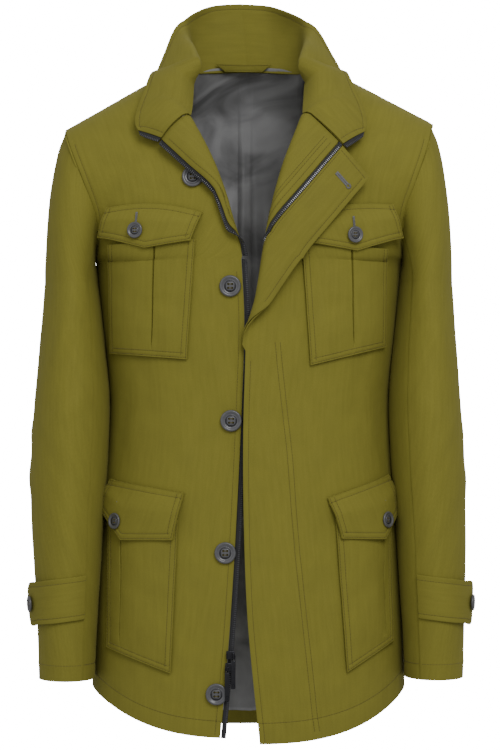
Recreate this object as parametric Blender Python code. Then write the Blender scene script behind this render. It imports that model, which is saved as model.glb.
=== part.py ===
"""Field jacket: a hollow, worn-looking jacket built from its cut pieces.

Frame: metres, +Z up, the front faces -Y and the wearer's left is +X. The origin is the
centre of the neck at the level where the shoulder seams meet the collar.
Every cloth piece is a thin wall laid on one body form: a level (0 at the hem, 1 at the armpit,
2 along the shoulder seam) and a distance from the centre line pick each point.
"""
import math
from typing import NamedTuple

import bmesh
import bpy
from mathutils import Matrix, Vector

# ---- driving sizes -------------------------------------------------------------------------
SHELL = 0.0014          # shell cloth
FACING = 0.0012         # facing cloth, the same cotton pressed thinner
LINING = 0.0010         # satin lining
GAP = 0.0003            # between neighbouring pieces
SEAM = 0.0008           # at a seam across flat facets, which leaves GAP at its tightest
PLY = 0.0010            # between two layers that bend together
UNDER = SHELL + PLY     # depth of the layer that lies inside the shell

ARMPIT_Z = -0.235
TIP_Z = -0.0693         # shoulder tip
TIP_SKEW = 0.0053       # the wearer's left shoulder is carried this much higher
NECK_TOP_Z = 0.040      # where both shoulder lines would meet over the neck
SIDE_HEM_Z = -0.752
FRONT_HEM_Z = {"left": -0.808, "right": -0.802}
BACK_HEM_Z = -0.817
ARM_FRONT = 0.075       # half depths of the armhole
ARM_BACK = 0.068
CHEST_FRONT = 0.128
CHEST_BACK = 0.118
ROUND_FRONT = 2.2       # roundness of the chest up to the shoulder
ROUND_BACK = 3.4
SQUARE = 2.3            # roundness of the chest section
TURN_SHOULDER = 54.0    # degrees of the section that a yoke row covers
WRAP = 0.009            # the left front lies over the right by this much
WRAP_REACH = 0.115
NECK_HALF = 0.0735
NECK_EASE = 0.0040      # the collar stands this far inside the shell's neckline
NECK_FOOT = 0.0125      # and the neckline starts this far outside the top of the roll

SIDES = {"left": 1.0, "right": -1.0}


class BodyRow(NamedTuple):
    """One level of the body below the armpit."""
    z: float
    half_width: float
    front: float
    back: float


BODY = (
    BodyRow(-0.830, 0.1915, 0.138, 0.128),
    BodyRow(-0.740, 0.1900, 0.137, 0.126),
    BodyRow(-0.640, 0.1850, 0.133, 0.121),
    BodyRow(-0.540, 0.1790, 0.129, 0.115),
    BodyRow(-0.430, 0.1720, 0.127, 0.110),
    BodyRow(-0.330, 0.1795, 0.129, 0.114),
    BodyRow(-0.235, 0.1870, 0.128, 0.118),
)


class ArmholeRow(NamedTuple):
    """Half width of the armhole seam, by share of its height."""
    share: float
    front: float
    back: float


ARMHOLE = (
    ArmholeRow(0.00, 0.1870, 0.1870),
    ArmholeRow(0.20, 0.1845, 0.1880),
    ArmholeRow(0.38, 0.1890, 0.1930),
    ArmholeRow(0.58, 0.2005, 0.2030),
    ArmholeRow(0.80, 0.2140, 0.2150),
    ArmholeRow(1.00, 0.2245, 0.2245),
)


class TurnRow(NamedTuple):
    """One row of a turned-back front: where it rolls, and where its free edge lies."""
    share: float
    roll_x: float
    roll_z: float
    edge_x: float
    edge_z: float


TURNED = {
    "right": (
        TurnRow(0.00, 0.0130, -0.2370, 0.0130, -0.2370),
        TurnRow(0.25, 0.0245, -0.1800, 0.0285, -0.1900),
        TurnRow(0.50, 0.0365, -0.1400, 0.0480, -0.1610),
        TurnRow(0.75, 0.0500, -0.1076, 0.0725, -0.1365),
        TurnRow(1.00, 0.0690, -0.0697, 0.1016, -0.1090),
    ),
    "left": (
        TurnRow(0.00, -0.0085, -0.3456, -0.0085, -0.3456),
        TurnRow(0.25, 0.0035, -0.2755, 0.0221, -0.2927),
        TurnRow(0.50, 0.0143, -0.2050, 0.0548, -0.2429),
        TurnRow(0.75, 0.0315, -0.1340, 0.0937, -0.1976),
        TurnRow(1.00, 0.0566, -0.0673, 0.1328, -0.1525),
    ),
}


class EdgeRow(NamedTuple):
    """Front edge below the turned part, measured towards the wearer's own side."""
    z: float
    x: float


FRONT_EDGE = {
    "right": (
        EdgeRow(-0.830, 0.0410),
        EdgeRow(-0.700, 0.0290),
        EdgeRow(-0.600, 0.0220),
        EdgeRow(-0.500, 0.0165),
        EdgeRow(-0.400, 0.0120),
        EdgeRow(-0.310, 0.0095),
        EdgeRow(-0.237, 0.0130),
    ),
    "left": (
        EdgeRow(-0.830, 0.0105),
        EdgeRow(-0.720, -0.0012),
        EdgeRow(-0.650, -0.0070),
        EdgeRow(-0.550, -0.0105),
        EdgeRow(-0.450, -0.0112),
        EdgeRow(-0.3456, -0.0085),
    ),
}


class CollarRow(NamedTuple):
    """One section of the collar from neck seam over its middle to the free edge."""
    share: float
    seam: tuple
    middle: tuple
    edge: tuple


COLLAR = (
    CollarRow(0.000, (0.0000, 0.0790, 0.0110), (0.0000, 0.0880, 0.0560), (0.0000, 0.0900, 0.0930)),
    CollarRow(0.160, (0.0370, 0.0680, 0.0080), (0.0390, 0.0790, 0.0530), (0.0370, 0.0800, 0.0890)),
    CollarRow(0.310, (0.0620, 0.0440, 0.0045), (0.0675, 0.0520, 0.0460), (0.0670, 0.0500, 0.0730)),
    CollarRow(0.430, (0.0720, 0.0150, 0.0030), (0.0735, 0.0180, 0.0390), (0.0860, 0.0270, 0.0530)),
    CollarRow(0.550, (0.0725, -0.0150, -0.0040), (0.0710, -0.0180, 0.0270), (0.1040, 0.0000, 0.0180)),
    CollarRow(0.670, (0.0700, -0.0460, -0.0180), (0.0655, -0.0520, 0.0060), (0.1180, -0.0260, -0.0110)),
)
COLLAR_LEAN = -0.007    # the back of the collar sits this far towards the wearer's right


class SleeveRow(NamedTuple):
    """One level ring of a sleeve."""
    z: float
    outer: float
    inner: float
    front: float
    back: float


SLEEVE = (
    SleeveRow(-0.262, 0.2485, 0.1895, -0.090, 0.078),
    SleeveRow(-0.330, 0.2545, 0.1780, -0.097, 0.066),
    SleeveRow(-0.400, 0.2605, 0.1728, -0.104, 0.052),
    SleeveRow(-0.470, 0.2645, 0.1745, -0.108, 0.038),
    SleeveRow(-0.540, 0.2655, 0.1796, -0.110, 0.024),
    SleeveRow(-0.610, 0.2650, 0.1826, -0.110, 0.012),
    SleeveRow(-0.680, 0.2625, 0.1845, -0.110, 0.002),
    SleeveRow(-0.738, 0.2610, 0.1870, -0.109, -0.002),
)
SLEEVE_SWAY = 0.0035    # the right sleeve hangs this much further out, the left as much less
SEAM_FRONT = 125.0      # degrees round the armhole from the shoulder tip
SEAM_BACK = 235.0
SLEEVE_SEAM = 0.75      # degrees kept clear on each side of a sleeve seam
ARMHOLE_GAP = 0.0016    # a sleeve head meets the body at an angle, so it starts clear of it
ARMHOLE_GAP_TOP = 0.0009

ZIP_BAND = 0.0060       # visible zip: teeth and the tape beside them
ZIP_THICK = 0.0016
PLACKET_WIDE = 0.0500   # button fly beyond the zip
FACING_WIDE = 0.075     # facing inside the front
FRONT_BUTTON = 0.0128   # radii
FLAP_BUTTON = 0.0098
CUFF_BUTTON = 0.0098

COLOURS = {
    "olive": (0.205, 0.165, 0.024),
    "olive_inner": (0.190, 0.152, 0.022),
    "satin": (0.075, 0.075, 0.078),
    "horn": (0.070, 0.070, 0.074),
    "metal": (0.030, 0.030, 0.032),
    "tape": (0.020, 0.020, 0.022),
}


# ---- small helpers -------------------------------------------------------------------------
def mix(a, b, share):
    """Straight mix of two numbers or vectors."""
    return a + (b - a) * share


def ease(value):
    """Smooth step from 0 to 1."""
    value = max(0.0, min(1.0, value))
    return value * value * (3.0 - 2.0 * value)


def spread(start, end, count):
    """Evenly spaced values, both ends included."""
    return [mix(start, end, index / (count - 1)) for index in range(count)]


def read(table, key, *columns):
    """Smooth reading of a table's columns at a value of its first column."""
    keys = [row[0] for row in table]
    key = max(keys[0], min(keys[-1], key))
    index = max(i for i in range(len(keys) - 1) if keys[i] <= key)
    share = (key - keys[index]) / (keys[index + 1] - keys[index])
    result = []
    for column in columns:
        values = [getattr(row, column) for row in table]
        slopes = []
        for i in range(len(keys)):
            low = max(0, i - 1)
            high = min(len(keys) - 1, i + 1)
            rise = Vector(values[high]) - Vector(values[low]) if isinstance(
                values[i], tuple) else values[high] - values[low]
            slopes.append(rise / (keys[high] - keys[low]))
        width = keys[index + 1] - keys[index]
        first, last = values[index], values[index + 1]
        if isinstance(first, tuple):
            first, last = Vector(first), Vector(last)
        s2, s3 = share * share, share ** 3
        result.append(first * (2 * s3 - 3 * s2 + 1) + slopes[index] * (width * (s3 - 2 * s2 + share))
                      + last * (3 * s2 - 2 * s3) + slopes[index + 1] * (width * (s3 - s2)))
    return result[0] if len(result) == 1 else result


def material(name):
    """The plain finish of a part."""
    found = bpy.data.materials.get(name)
    if found:
        return found
    made = bpy.data.materials.new(name)
    made.use_nodes = True
    shader = made.node_tree.nodes["Principled BSDF"]
    shader.inputs["Base Color"].default_value = (*COLOURS[name], 1.0)
    shader.inputs["Roughness"].default_value = 0.35 if name in ("satin", "metal", "horn") else 0.85
    shader.inputs["Metallic"].default_value = 1.0 if name == "metal" else 0.0
    return made


def place(name, mesh, finish, smooth=True):
    """Put a mesh in the scene as one named piece."""
    piece = bpy.data.objects.new(name, mesh)
    bpy.context.scene.collection.objects.link(piece)
    own = material(finish).copy()
    own.name = f"{name}_{finish}"
    mesh.materials.append(own)
    if smooth:
        mesh.shade_smooth()
    return piece


# ---- the body form -------------------------------------------------------------------------
def body_point(side, face, level, x):
    """A point of the body form's outer face, x from the centre line to the side."""
    sign = SIDES[side]
    front = face == "front"
    hem = FRONT_HEM_Z[side] if front else BACK_HEM_Z
    if level <= 1.0:
        z_mid = mix(hem, ARMPIT_Z, level)
        z_edge = mix(SIDE_HEM_Z, ARMPIT_Z, level)
        half, deep = read(BODY, z_mid, "half_width", "front" if front else "back")
        y_mid, y_edge, turn = deep, 0.0, 90.0
        reach = half
        bend = abs(x / reach) ** 3
    else:
        share = min(level - 1.0, 1.0)
        z_mid = mix(ARMPIT_Z, NECK_TOP_Z, share)
        z_edge = mix(ARMPIT_Z, TIP_Z + sign * TIP_SKEW, share)
        reach = read(ARMHOLE, share, face)
        power = ROUND_FRONT if front else ROUND_BACK
        y_mid = (CHEST_FRONT if front else CHEST_BACK) * max(0.0, 1.0 - share ** power) ** (1.0 / power)
        y_edge = (ARM_FRONT if front else ARM_BACK) * 2.0 * math.sqrt(max(0.0, share * (1.0 - share)))
        turn = 90.0 - (90.0 - TURN_SHOULDER) * ease(share / 0.45)
        soft = 0.12
        bend = (math.hypot(x / reach, soft) - soft) / (math.hypot(1.0, soft) - soft)
    end = math.sin(math.radians(turn))
    at = min(1.0, abs(x / reach) * end)
    depth = max(0.0, 1.0 - at ** SQUARE) ** (1.0 / SQUARE)
    depth_end = max(0.0, 1.0 - end ** SQUARE) ** (1.0 / SQUARE)
    y = y_mid - (y_mid - y_edge) * (1.0 - depth) / (1.0 - depth_end)
    if front and side == "left":
        y += WRAP * ease((WRAP_REACH - x) / WRAP_REACH) * ease((2.0 - level) / 0.8)
    return Vector((sign * x, -y if front else y, mix(z_mid, z_edge, bend)))


def body_reach(side, face, level):
    """Half width of a row: the side seam, or the armhole above the armpit."""
    if level > 1.0:
        return read(ARMHOLE, min(level - 1.0, 1.0), face)
    hem = FRONT_HEM_Z[side] if face == "front" else BACK_HEM_Z
    return read(BODY, mix(hem, ARMPIT_Z, level), "half_width")


def body_level(side, face, x, z):
    """The row that passes through a given height at a given x."""
    low, high = 0.0, 2.0
    for _ in range(26):
        middle = 0.5 * (low + high)
        if body_point(side, face, middle, x).z < z:
            low = middle
        else:
            high = middle
    return 0.5 * (low + high)


def body_frame(side, face, x, z):
    """Point, outward normal and upward direction of the form at x and z."""
    level = body_level(side, face, x, z)
    step = 0.004
    low, high = max(0.0, level - step), min(2.0, level + step)
    up = body_point(side, face, high, x) - body_point(side, face, low, x)
    reach = body_reach(side, face, level)
    near, far = min(x + 0.001, reach * 0.9995), x - 0.001
    across = body_point(side, face, level, near) - body_point(side, face, level, far)
    normal = up.cross(across).normalized()
    if normal.y * (-1.0 if face == "front" else 1.0) < 0.0:
        normal.negate()
    up = (up - normal * up.dot(normal)).normalized()
    return body_point(side, face, level, x), normal, up


def on_front(side, x, z, lift):
    """A point held off the front by a lift."""
    point, normal, _ = body_frame(side, "front", x, z)
    return point + normal * lift


# ---- cloth ---------------------------------------------------------------------------------
def facet_normals(rows, j, k):
    """Normals of the facets that meet at a grid point."""
    found = []
    for dj in (-1, 1):
        for dk in (-1, 1):
            if 0 <= j + dj < len(rows) and 0 <= k + dk < len(rows[0]):
                up = (rows[j + dj][k] - rows[j][k]) * dj
                across = (rows[j][k + dk] - rows[j][k]) * dk
                if up.length > 1e-6 and across.length > 1e-6:
                    found.append(up.cross(across).normalized())
    return found


def grid_normals(rows, outward):
    """Offset directions of a grid: moving along one by 1 clears every facet at its point by 1."""
    normals = []
    for j in range(len(rows)):
        line = []
        for k in range(len(rows[0])):
            facets = facet_normals(rows, j, k)
            total = sum(facets, Vector())
            if total.length < 1e-6:
                line.append(line[-1].copy() if line else None)
                continue
            normal = total.normalized()
            slack = max(0.55, min(normal.dot(facet) for facet in facets))
            line.append(normal / slack)
        normals.append(line)
    if normals[0][0].dot(outward) < 0.0:
        normals = [[-normal for normal in line] for line in normals]
    return normals


def thicken(bm, rows, normals, thickness):
    """Give a grid its wall along set directions, so that layers on one form stay nested."""
    wide = len(rows[0])
    number = bm.verts.layers.int["number"]
    bmesh.ops.triangulate(bm, faces=bm.faces[:], quad_method="FIXED")
    made = bmesh.ops.extrude_face_region(bm, geom=bm.faces[:], use_keep_orig=True)["geom"]
    for vert in made:
        if isinstance(vert, bmesh.types.BMVert):
            j, k = divmod(vert[number], wide)
            vert.co = rows[j][k] - normals[j][k] * thickness


def sheet(name, rows, outward, thickness, finish, drop=None, normals=None):
    """A cloth wall: a grid of outer points, given its thickness on the inner side."""
    count, wide = len(rows), len(rows[0])
    bm = bmesh.new()
    bmesh.ops.create_grid(bm, x_segments=wide - 1, y_segments=count - 1, size=1.0)
    number = bm.verts.layers.int.new("number")
    bm.verts.ensure_lookup_table()
    bm.faces.ensure_lookup_table()
    for j in range(count):
        for k in range(wide):
            bm.verts[j * wide + k].co = rows[j][k]
            bm.verts[j * wide + k][number] = j * wide + k
    if drop:
        gone = [face for index, face in enumerate(bm.faces)
                if drop(index // (wide - 1), index % (wide - 1))]
        bmesh.ops.delete(bm, geom=gone, context="FACES")
    if normals:
        thicken(bm, rows, normals, thickness)
    bmesh.ops.remove_doubles(bm, verts=bm.verts[:], dist=2e-5)
    bmesh.ops.dissolve_degenerate(bm, dist=1e-5, edges=bm.edges[:])
    bmesh.ops.recalc_face_normals(bm, faces=bm.faces[:])
    bm.faces.ensure_lookup_table()
    total = sum((face.normal * face.calc_area() for face in bm.faces), Vector())
    if not normals and total.dot(outward) < 0.0:
        bmesh.ops.reverse_faces(bm, faces=bm.faces[:])
    mesh = bpy.data.meshes.new(name)
    bm.to_mesh(mesh)
    bm.free()
    piece = place(name, mesh, finish)
    if not normals:
        wall = piece.modifiers.new("wall", "SOLIDIFY")
        wall.thickness = thickness
        wall.offset = -1.0
        wall.use_even_offset = True
        wall.use_quality_normals = True
    return piece


def part_of(rows, normals, first, last, starts, ends, depth):
    """Rows first..last of a layer under a grid, cut to a start and an end column on each row."""
    low = math.floor(min(starts[first:last + 1]) + 1e-9)
    high = math.ceil(max(ends[first:last + 1]) - 1e-9)
    layer, turns = [], []
    for j in range(first, last + 1):
        line, turn = [], []
        for k in range(low, high + 1):
            at = max(starts[j], min(ends[j], k))
            base = min(int(at), len(rows[j]) - 2)
            share = at - base
            point = mix(rows[j][base], rows[j][base + 1], share)
            normal = mix(normals[j][base], normals[j][base + 1], share)
            line.append(point - normal * depth)
            turn.append(normal)
        layer.append(line)
        turns.append(turn)
    return layer, turns, low


def off_roll(grid, bounds, beyond):
    """Move a layer's cut off the roll: back onto the chest, or on to the turned part."""
    near, far = grid.chest - 0.2, grid.chest + ROLL_STEPS + 0.3
    return [(far if beyond else near) if near < at < far else at for at in bounds]


def column_at(row, distance):
    """Column number at a distance back from a row's free end."""
    for k in range(len(row) - 1, 0, -1):
        length = (row[k] - row[k - 1]).length
        if length > 1e-9 and distance <= length:
            return k - distance / length
        distance -= length
    return 0.0


# ---- fronts --------------------------------------------------------------------------------
CHEST_COLUMNS = 11
TURN_SHARE = 0.24       # the roll turns over fully within this share of its length
ROLL_STEPS = 4
TURN_COLUMNS = {"left": 5, "right": 4}
LAYERS = SHELL + PLY + FACING   # what the roll wraps round its outer face
EDGE_LIFT = {"left": 0.0145, "right": 0.0100}   # free edge of the turned part off the chest


class Front(NamedTuple):
    """A front's grid of outer points: rows from the hem up, columns from the side to the edge."""
    rows: list
    normals: list
    breaks: int
    top: int
    chest: int


def roll_row(side, level):
    """Share of the turned part whose roll lies on a level, solved by halving."""
    low, high = 0.0, 1.0
    for _ in range(24):
        middle = 0.5 * (low + high)
        x, z = read(TURNED[side], middle, "roll_x", "roll_z")
        if body_level(side, "front", x, z) < level:
            low = middle
        else:
            high = middle
    return 0.5 * (low + high)


def row_start(level):
    """Angle at which a row's columns start: nearly square at the side, less along the armhole."""
    return math.radians(89.4 - 18.0 * ease((level - 1.0) / 0.5))


def chest_line(side, level, inner):
    """Points of one front row from the side or armhole to an inner x."""
    reach = body_reach(side, "front", level)
    start = row_start(level)
    end = math.asin(inner / reach * math.sin(start))
    angles = spread(start, end, CHEST_COLUMNS)
    edge = reach - 0.5 * GAP
    line = [body_point(side, "front", level, edge * math.sin(a) / math.sin(start)) for a in angles]
    if level <= 1.0:
        line[0].y = min(line[0].y, -0.5 * SEAM)
    return line


def front_grid(side):
    """The whole shell of one front, with its turned-back upper edge."""
    table = TURNED[side]
    sign = SIDES[side]
    break_level = body_level(side, "front", table[0].roll_x, table[0].roll_z)
    top_level = body_level(side, "front", table[-1].roll_x, table[-1].roll_z)
    below = spread(0.0, break_level, 11)
    turned = spread(break_level, top_level, 9)
    if break_level < 0.97:
        nearest = min(range(1, 8), key=lambda index: abs(turned[index] - 1.0))
        turned[nearest] = 1.0
    above = spread(top_level, 2.0, 5)
    levels = below + turned[1:] + above[1:]
    breaks, top = len(below) - 1, len(below) + len(turned) - 2
    turn_columns = TURN_COLUMNS[side]
    rows = []
    for j, level in enumerate(levels):
        if j <= breaks:
            z = mix(FRONT_HEM_Z[side], table[0].roll_z, j / breaks)
            line = chest_line(side, level, read(FRONT_EDGE[side], z, "x"))
            rows.append(line + [line[-1]] * (ROLL_STEPS + turn_columns))
            continue
        if j > top:
            part = (level - top_level) / (2.0 - top_level)
            inner = mix(table[-1].roll_x + NECK_FOOT, NECK_HALF + NECK_EASE, part)
            inner += NECK_EASE * math.sin(math.pi * part)
            if j == len(levels) - 1:
                level = 2.0
            line = chest_line(side, level, inner)
            shift = Vector((0.0, -0.5 * SEAM, 0.0)) if j == len(levels) - 1 else Vector()
            line = [point + shift for point in line]
            rows.append(line + [line[-1]] * (ROLL_STEPS + turn_columns))
            continue
        share = roll_row(side, level)
        roll_x, _, edge_x, edge_z = read(table, share, "roll_x", "roll_z", "edge_x", "edge_z")
        radius = mix(0.0040, 0.0055, ease(share / 0.8))
        turned_by = math.pi * ease(share / TURN_SHARE)
        inner = roll_x + (radius + LAYERS) * turned_by / math.pi
        line = chest_line(side, level, inner)
        foot = line[-1]
        _, normal, _ = body_frame(side, "front", inner, foot.z)
        ahead = (line[-1] - line[-2]).normalized()
        ahead = (ahead - normal * ahead.dot(normal)).normalized()
        for step in range(1, ROLL_STEPS + 1):
            angle = turned_by * step / ROLL_STEPS
            rise = normal * (1.0 - math.cos(angle)) + ahead * math.sin(angle)
            line.append(foot + rise * radius)
        lift_edge = mix(2.2 * radius, EDGE_LIFT[side], ease(1.6 * share))
        width = max(edge_x - inner, 0.0050)
        kept = min(1.0, width / max(edge_x - roll_x, 0.0050))
        edge_z = mix(foot.z, edge_z, kept)
        heading = normal * math.sin(turned_by) + ahead * math.cos(turned_by)
        end = line[-1]
        for step in range(1, turn_columns + 1):
            part = step / turn_columns
            x = inner + width * part
            z = mix(foot.z, edge_z, part)
            bow = 0.004 * math.sin(math.pi * part) * share
            laid = on_front(side, x, z, mix(2.0 * radius, lift_edge, part) + bow)
            line.append(mix(end + heading * (width * part), laid, (turned_by / math.pi) ** 4))
        rows.append(line)
    normals = grid_normals(rows, Vector((0.0, -1.0, 0.0)) + Vector((sign, 0.0, 0.0)))
    return Front(rows, normals, breaks, top, CHEST_COLUMNS - 1)


def build_front(side, grid):
    """Shell of one front."""
    def drop(j, k):
        return k >= grid.chest and j >= grid.top
    return sheet(f"front_{side}", grid.rows, Vector((0.0, -1.0, 0.0)), SHELL, "olive", drop, grid.normals)


def build_facing(side, grid):
    """Facing: inside the front, round the roll and out to the zip."""
    ends, starts = [], []
    full = len(grid.rows[0]) - 1
    for row in grid.rows[:grid.top + 1]:
        back = PLACKET_WIDE + ZIP_BAND + SEAM if side == "left" else 0.0
        end = column_at(row, back) if back else float(full)
        starts.append(max(1.0, column_at(row, FACING_WIDE + row_turn(row, grid))))
        ends.append(end)
    if side == "left":
        ends = off_roll(grid, ends, beyond=False)
    layer, turns, low = part_of(grid.rows, grid.normals, 0, grid.top, starts, ends, UNDER)

    def drop(j, k):
        return ends[j] < grid.chest < ends[j + 1] and k + low >= grid.chest - 1
    return sheet(f"facing_{side}", layer, Vector((0.0, -1.0, 0.0)), FACING, "olive_inner", drop, turns)


def row_turn(row, grid):
    """Length of a row's turned part."""
    return sum((row[k + 1] - row[k]).length for k in range(grid.chest, len(row) - 1))


def build_placket(grid):
    """Button fly of the wearer's left front, under the shell from its free edge to the zip."""
    full = float(len(grid.rows[0]) - 1)
    starts = [column_at(row, PLACKET_WIDE) for row in grid.rows[:grid.top + 1]]
    ends = [full] * (grid.top + 1)
    starts = off_roll(grid, starts, beyond=True)
    layer, turns, low = part_of(grid.rows, grid.normals, 0, grid.top, starts, ends, UNDER)

    def drop(j, k):
        return starts[j] < grid.chest < starts[j + 1] and k + low < grid.chest + ROLL_STEPS
    return sheet("fly_placket", layer, Vector((0.0, -1.0, 0.0)), FACING, "olive_inner", drop, turns)


def build_collar_zip(side, fronts):
    """Zip tape that goes on up the collar's front end."""
    last = collar_section(side, 1.0, fronts)
    near = collar_section(side, 0.94, fronts)
    pairs = []
    for index in range(1, len(last)):
        ahead = (last[index] - near[index]).normalized()
        normal = ahead.cross(last[index] - last[index - 1]).normalized()
        if normal.y < 0.0:
            normal.negate()
        pairs.append((last[index], ahead, normal))
    tape(f"zip_tape_{side}_collar", pairs, 0.5 * (LAYERS - ZIP_THICK), Vector((0.0, 1.0, 0.0)))


def tape(name, pairs, depth, outward):
    """Zip tape that stands out from an edge, given points on the edge and directions."""
    layer = []
    for point, ahead, normal in pairs:
        base = point - normal * depth + ahead * SEAM
        layer.append([base, base + ahead * ZIP_BAND])
    return sheet(name, layer, outward, ZIP_THICK, "tape")


def build_zip_left(fronts):
    """Zip tape of the wearer's left front, between facing and fly, above and below the roll."""
    grid = fronts["left"]
    pairs = {"upper": range(grid.breaks + 6, grid.top + 1), "lower": range(0, grid.breaks)}
    for name, span in pairs.items():
        starts = [column_at(row, PLACKET_WIDE + ZIP_BAND) for row in grid.rows]
        ends = [column_at(row, PLACKET_WIDE + SEAM) for row in grid.rows]
        layer = []
        for j in span:
            layer += [[line[0], line[-1]] for line in
                      part_of(grid.rows, grid.normals, j, j, starts, ends, UNDER)[0]]
        outward = Vector((0.0, 1.0 if name == "upper" else -1.0, 0.0))
        sheet(f"zip_tape_left_{name}", layer, outward, ZIP_THICK, "tape")


def build_zip_right(fronts):
    """Zip tape beyond the wearer's right front edge, above and below the roll."""
    grid = fronts["right"]
    middle = 0.5 * (LAYERS - ZIP_THICK)
    lower = []
    for j in range(0, grid.breaks):
        row = grid.rows[j]
        ahead = (row[grid.chest] - row[grid.chest - 1]).normalized()
        lower.append((row[-1], ahead, grid.normals[j][grid.chest]))
    tape("zip_tape_right_lower", lower, middle, Vector((0.0, -1.0, 0.0)))
    upper = []
    for j in range(grid.breaks + 2, grid.top + 1):
        row = grid.rows[j]
        upper.append((row[-1], (row[-1] - row[-2]).normalized(), grid.normals[j][-1]))
    tape("zip_tape_right_upper", upper, middle, Vector((0.0, 1.0, 0.0)))


# ---- back ----------------------------------------------------------------------------------
LINING_EASE = 0.0016    # the lining hangs this far inside the shell
COLLAR_WALL = 0.0058    # thickness of both collar layers and the room behind them
BACK_NECK = 0.900       # share of the yoke where the centre back meets the neck seam


def back_inner(level):
    """Inner x of a back row: the centre seam, then round the neck."""
    share = level - 1.0
    if share <= BACK_NECK:
        return 0.5 * SEAM
    return (NECK_HALF + NECK_EASE) * math.sqrt((share - BACK_NECK) / (1.0 - BACK_NECK))


def back_rows(side):
    """Grid of outer points of one back."""
    levels = spread(0.0, 1.0, 11) + spread(1.0, 1.0 + BACK_NECK, 9)[1:] + [1.94, 1.97, 2.0]
    rows = []
    for level in levels:
        reach = body_reach(side, "back", level)
        start = row_start(level)
        end = math.asin(back_inner(level) / reach * math.sin(start))
        edge = reach - 0.5 * GAP
        line = [body_point(side, "back", level, edge * math.sin(a) / math.sin(start))
                for a in spread(start, end, 10)]
        if level >= 2.0:
            line = [point + Vector((0.0, 0.5 * SEAM, 0.0)) for point in line]
        if level <= 1.0:
            line[0].y = max(line[0].y, 0.5 * SEAM)
        rows.append(line)
    return rows


def under_collar(point):
    """The lining's top edge where it meets the collar: just inside the neck seam."""
    low, high = 0.0, COLLAR[3].share
    for _ in range(20):
        middle = 0.5 * (low + high)
        if read(COLLAR, middle, "seam").x < abs(point.x):
            low = middle
        else:
            high = middle
    seam = read(COLLAR, low, "seam")
    tuck = mix(0.001, -0.003, ease((abs(point.x) - 0.040) / 0.020))
    return Vector((point.x, seam.y - COLLAR_WALL, seam.z + tuck))


def build_backs():
    """Both backs, the lining across them and the facing along the back hem."""
    grids = {}
    for side in SIDES:
        rows = back_rows(side)
        grids[side] = rows
        sheet(f"back_{side}", rows, Vector((0.0, 1.0, 0.0)), SHELL, "olive")
    joined = []
    for left, right in zip(grids["left"], grids["right"]):
        joined.append(left[1:-1] + [0.5 * (left[-1] + right[-1])] + right[-2:0:-1])
    normals = grid_normals(joined, Vector((0.0, 1.0, 0.0)))
    hem_rows = 1
    top = 19
    layer = []
    centre = len(joined[0]) // 2
    for j in range(hem_rows, top):
        line = []
        for k, point in enumerate(joined[j]):
            pleat = max(0.0, 1.0 - abs(k - centre) / 1.6)
            depth = UNDER + LINING_EASE + 0.005 * pleat * ease((top - 1 - j) / 3.0)
            line.append(point - normals[j][k] * depth)
        layer.append(line)
    layer[-1] = [under_collar(point) if abs(point.x) < NECK_HALF - 0.004 else point for point in layer[-1]]
    layer[0] = [mix(point, joined[hem_rows - 1][k] - normals[0][k] * UNDER, 0.45) for k, point in
                enumerate(layer[0])]
    hem = []
    for share in (0.01, 0.5):
        line = []
        for k in range(len(joined[0])):
            turn = mix(normals[0][k], normals[1][k], share)
            line.append(mix(joined[0][k], joined[1][k], share) - turn * UNDER)
        hem.append(line)
    sheet("lining_back", layer, Vector((0.0, 1.0, 0.0)), LINING, "satin")
    sheet("hem_facing_back", hem, Vector((0.0, 1.0, 0.0)), FACING, "olive_inner")


# ---- sleeves -------------------------------------------------------------------------------
def armhole_point(side, angle):
    """Point of the armhole seam, angle from the shoulder tip forward round the arm."""
    share = 0.5 * (1.0 + math.cos(angle))
    face = "front" if math.sin(angle) >= 0.0 else "back"
    deep = ARM_FRONT if face == "front" else ARM_BACK
    z = mix(ARMPIT_Z, TIP_Z + SIDES[side] * TIP_SKEW, share)
    return Vector((SIDES[side] * read(ARMHOLE, share, face), -deep * math.sin(angle), z))


def sleeve_ring(side, z, angle):
    """Point of a level ring of the sleeve."""
    lower = tuple(reversed(SLEEVE))
    outer, inner, front, back = read(lower, z, "outer", "inner", "front", "back")
    sway = -SIDES[side] * SLEEVE_SWAY * ease((ARMPIT_Z - z) / 0.2)
    outer += sway
    middle = 0.5 * (outer + inner)
    half = 0.5 * (outer - inner)
    x = middle + half * math.cos(angle)
    y = 0.5 * (front + back) - 0.5 * (back - front) * math.sin(angle)
    return Vector((SIDES[side] * x, y, z))


def sleeve_point(side, share, angle):
    """Point of the sleeve: share 0..1 is the head, 1..2 runs from the biceps to the cuff."""
    if share >= 1.0:
        return sleeve_ring(side, mix(SLEEVE[0].z, SLEEVE[-1].z, share - 1.0), angle)
    start = armhole_point(side, angle)
    end = sleeve_ring(side, SLEEVE[0].z, angle)
    high = 0.5 * (1.0 + math.cos(angle))
    out = Vector((SIDES[side] * mix(0.10, 1.0, high), -0.35 * math.sin(angle), mix(-1.0, -0.30, high)))
    length = (end - start).length
    t2, t3 = share * share, share ** 3
    first = out.normalized() * length * mix(0.8, 0.75, high)
    last = Vector((0.0, 0.0, -1.0)) * length * 1.1
    return (start * (2 * t3 - 3 * t2 + 1) + first * (t3 - 2 * t2 + share)
            + end * (3 * t2 - 2 * t3) + last * (t3 - t2))


SLEEVE_LEVELS = spread(0.0, 1.0, 6) + spread(1.0, 2.0, 9)[1:]


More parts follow.
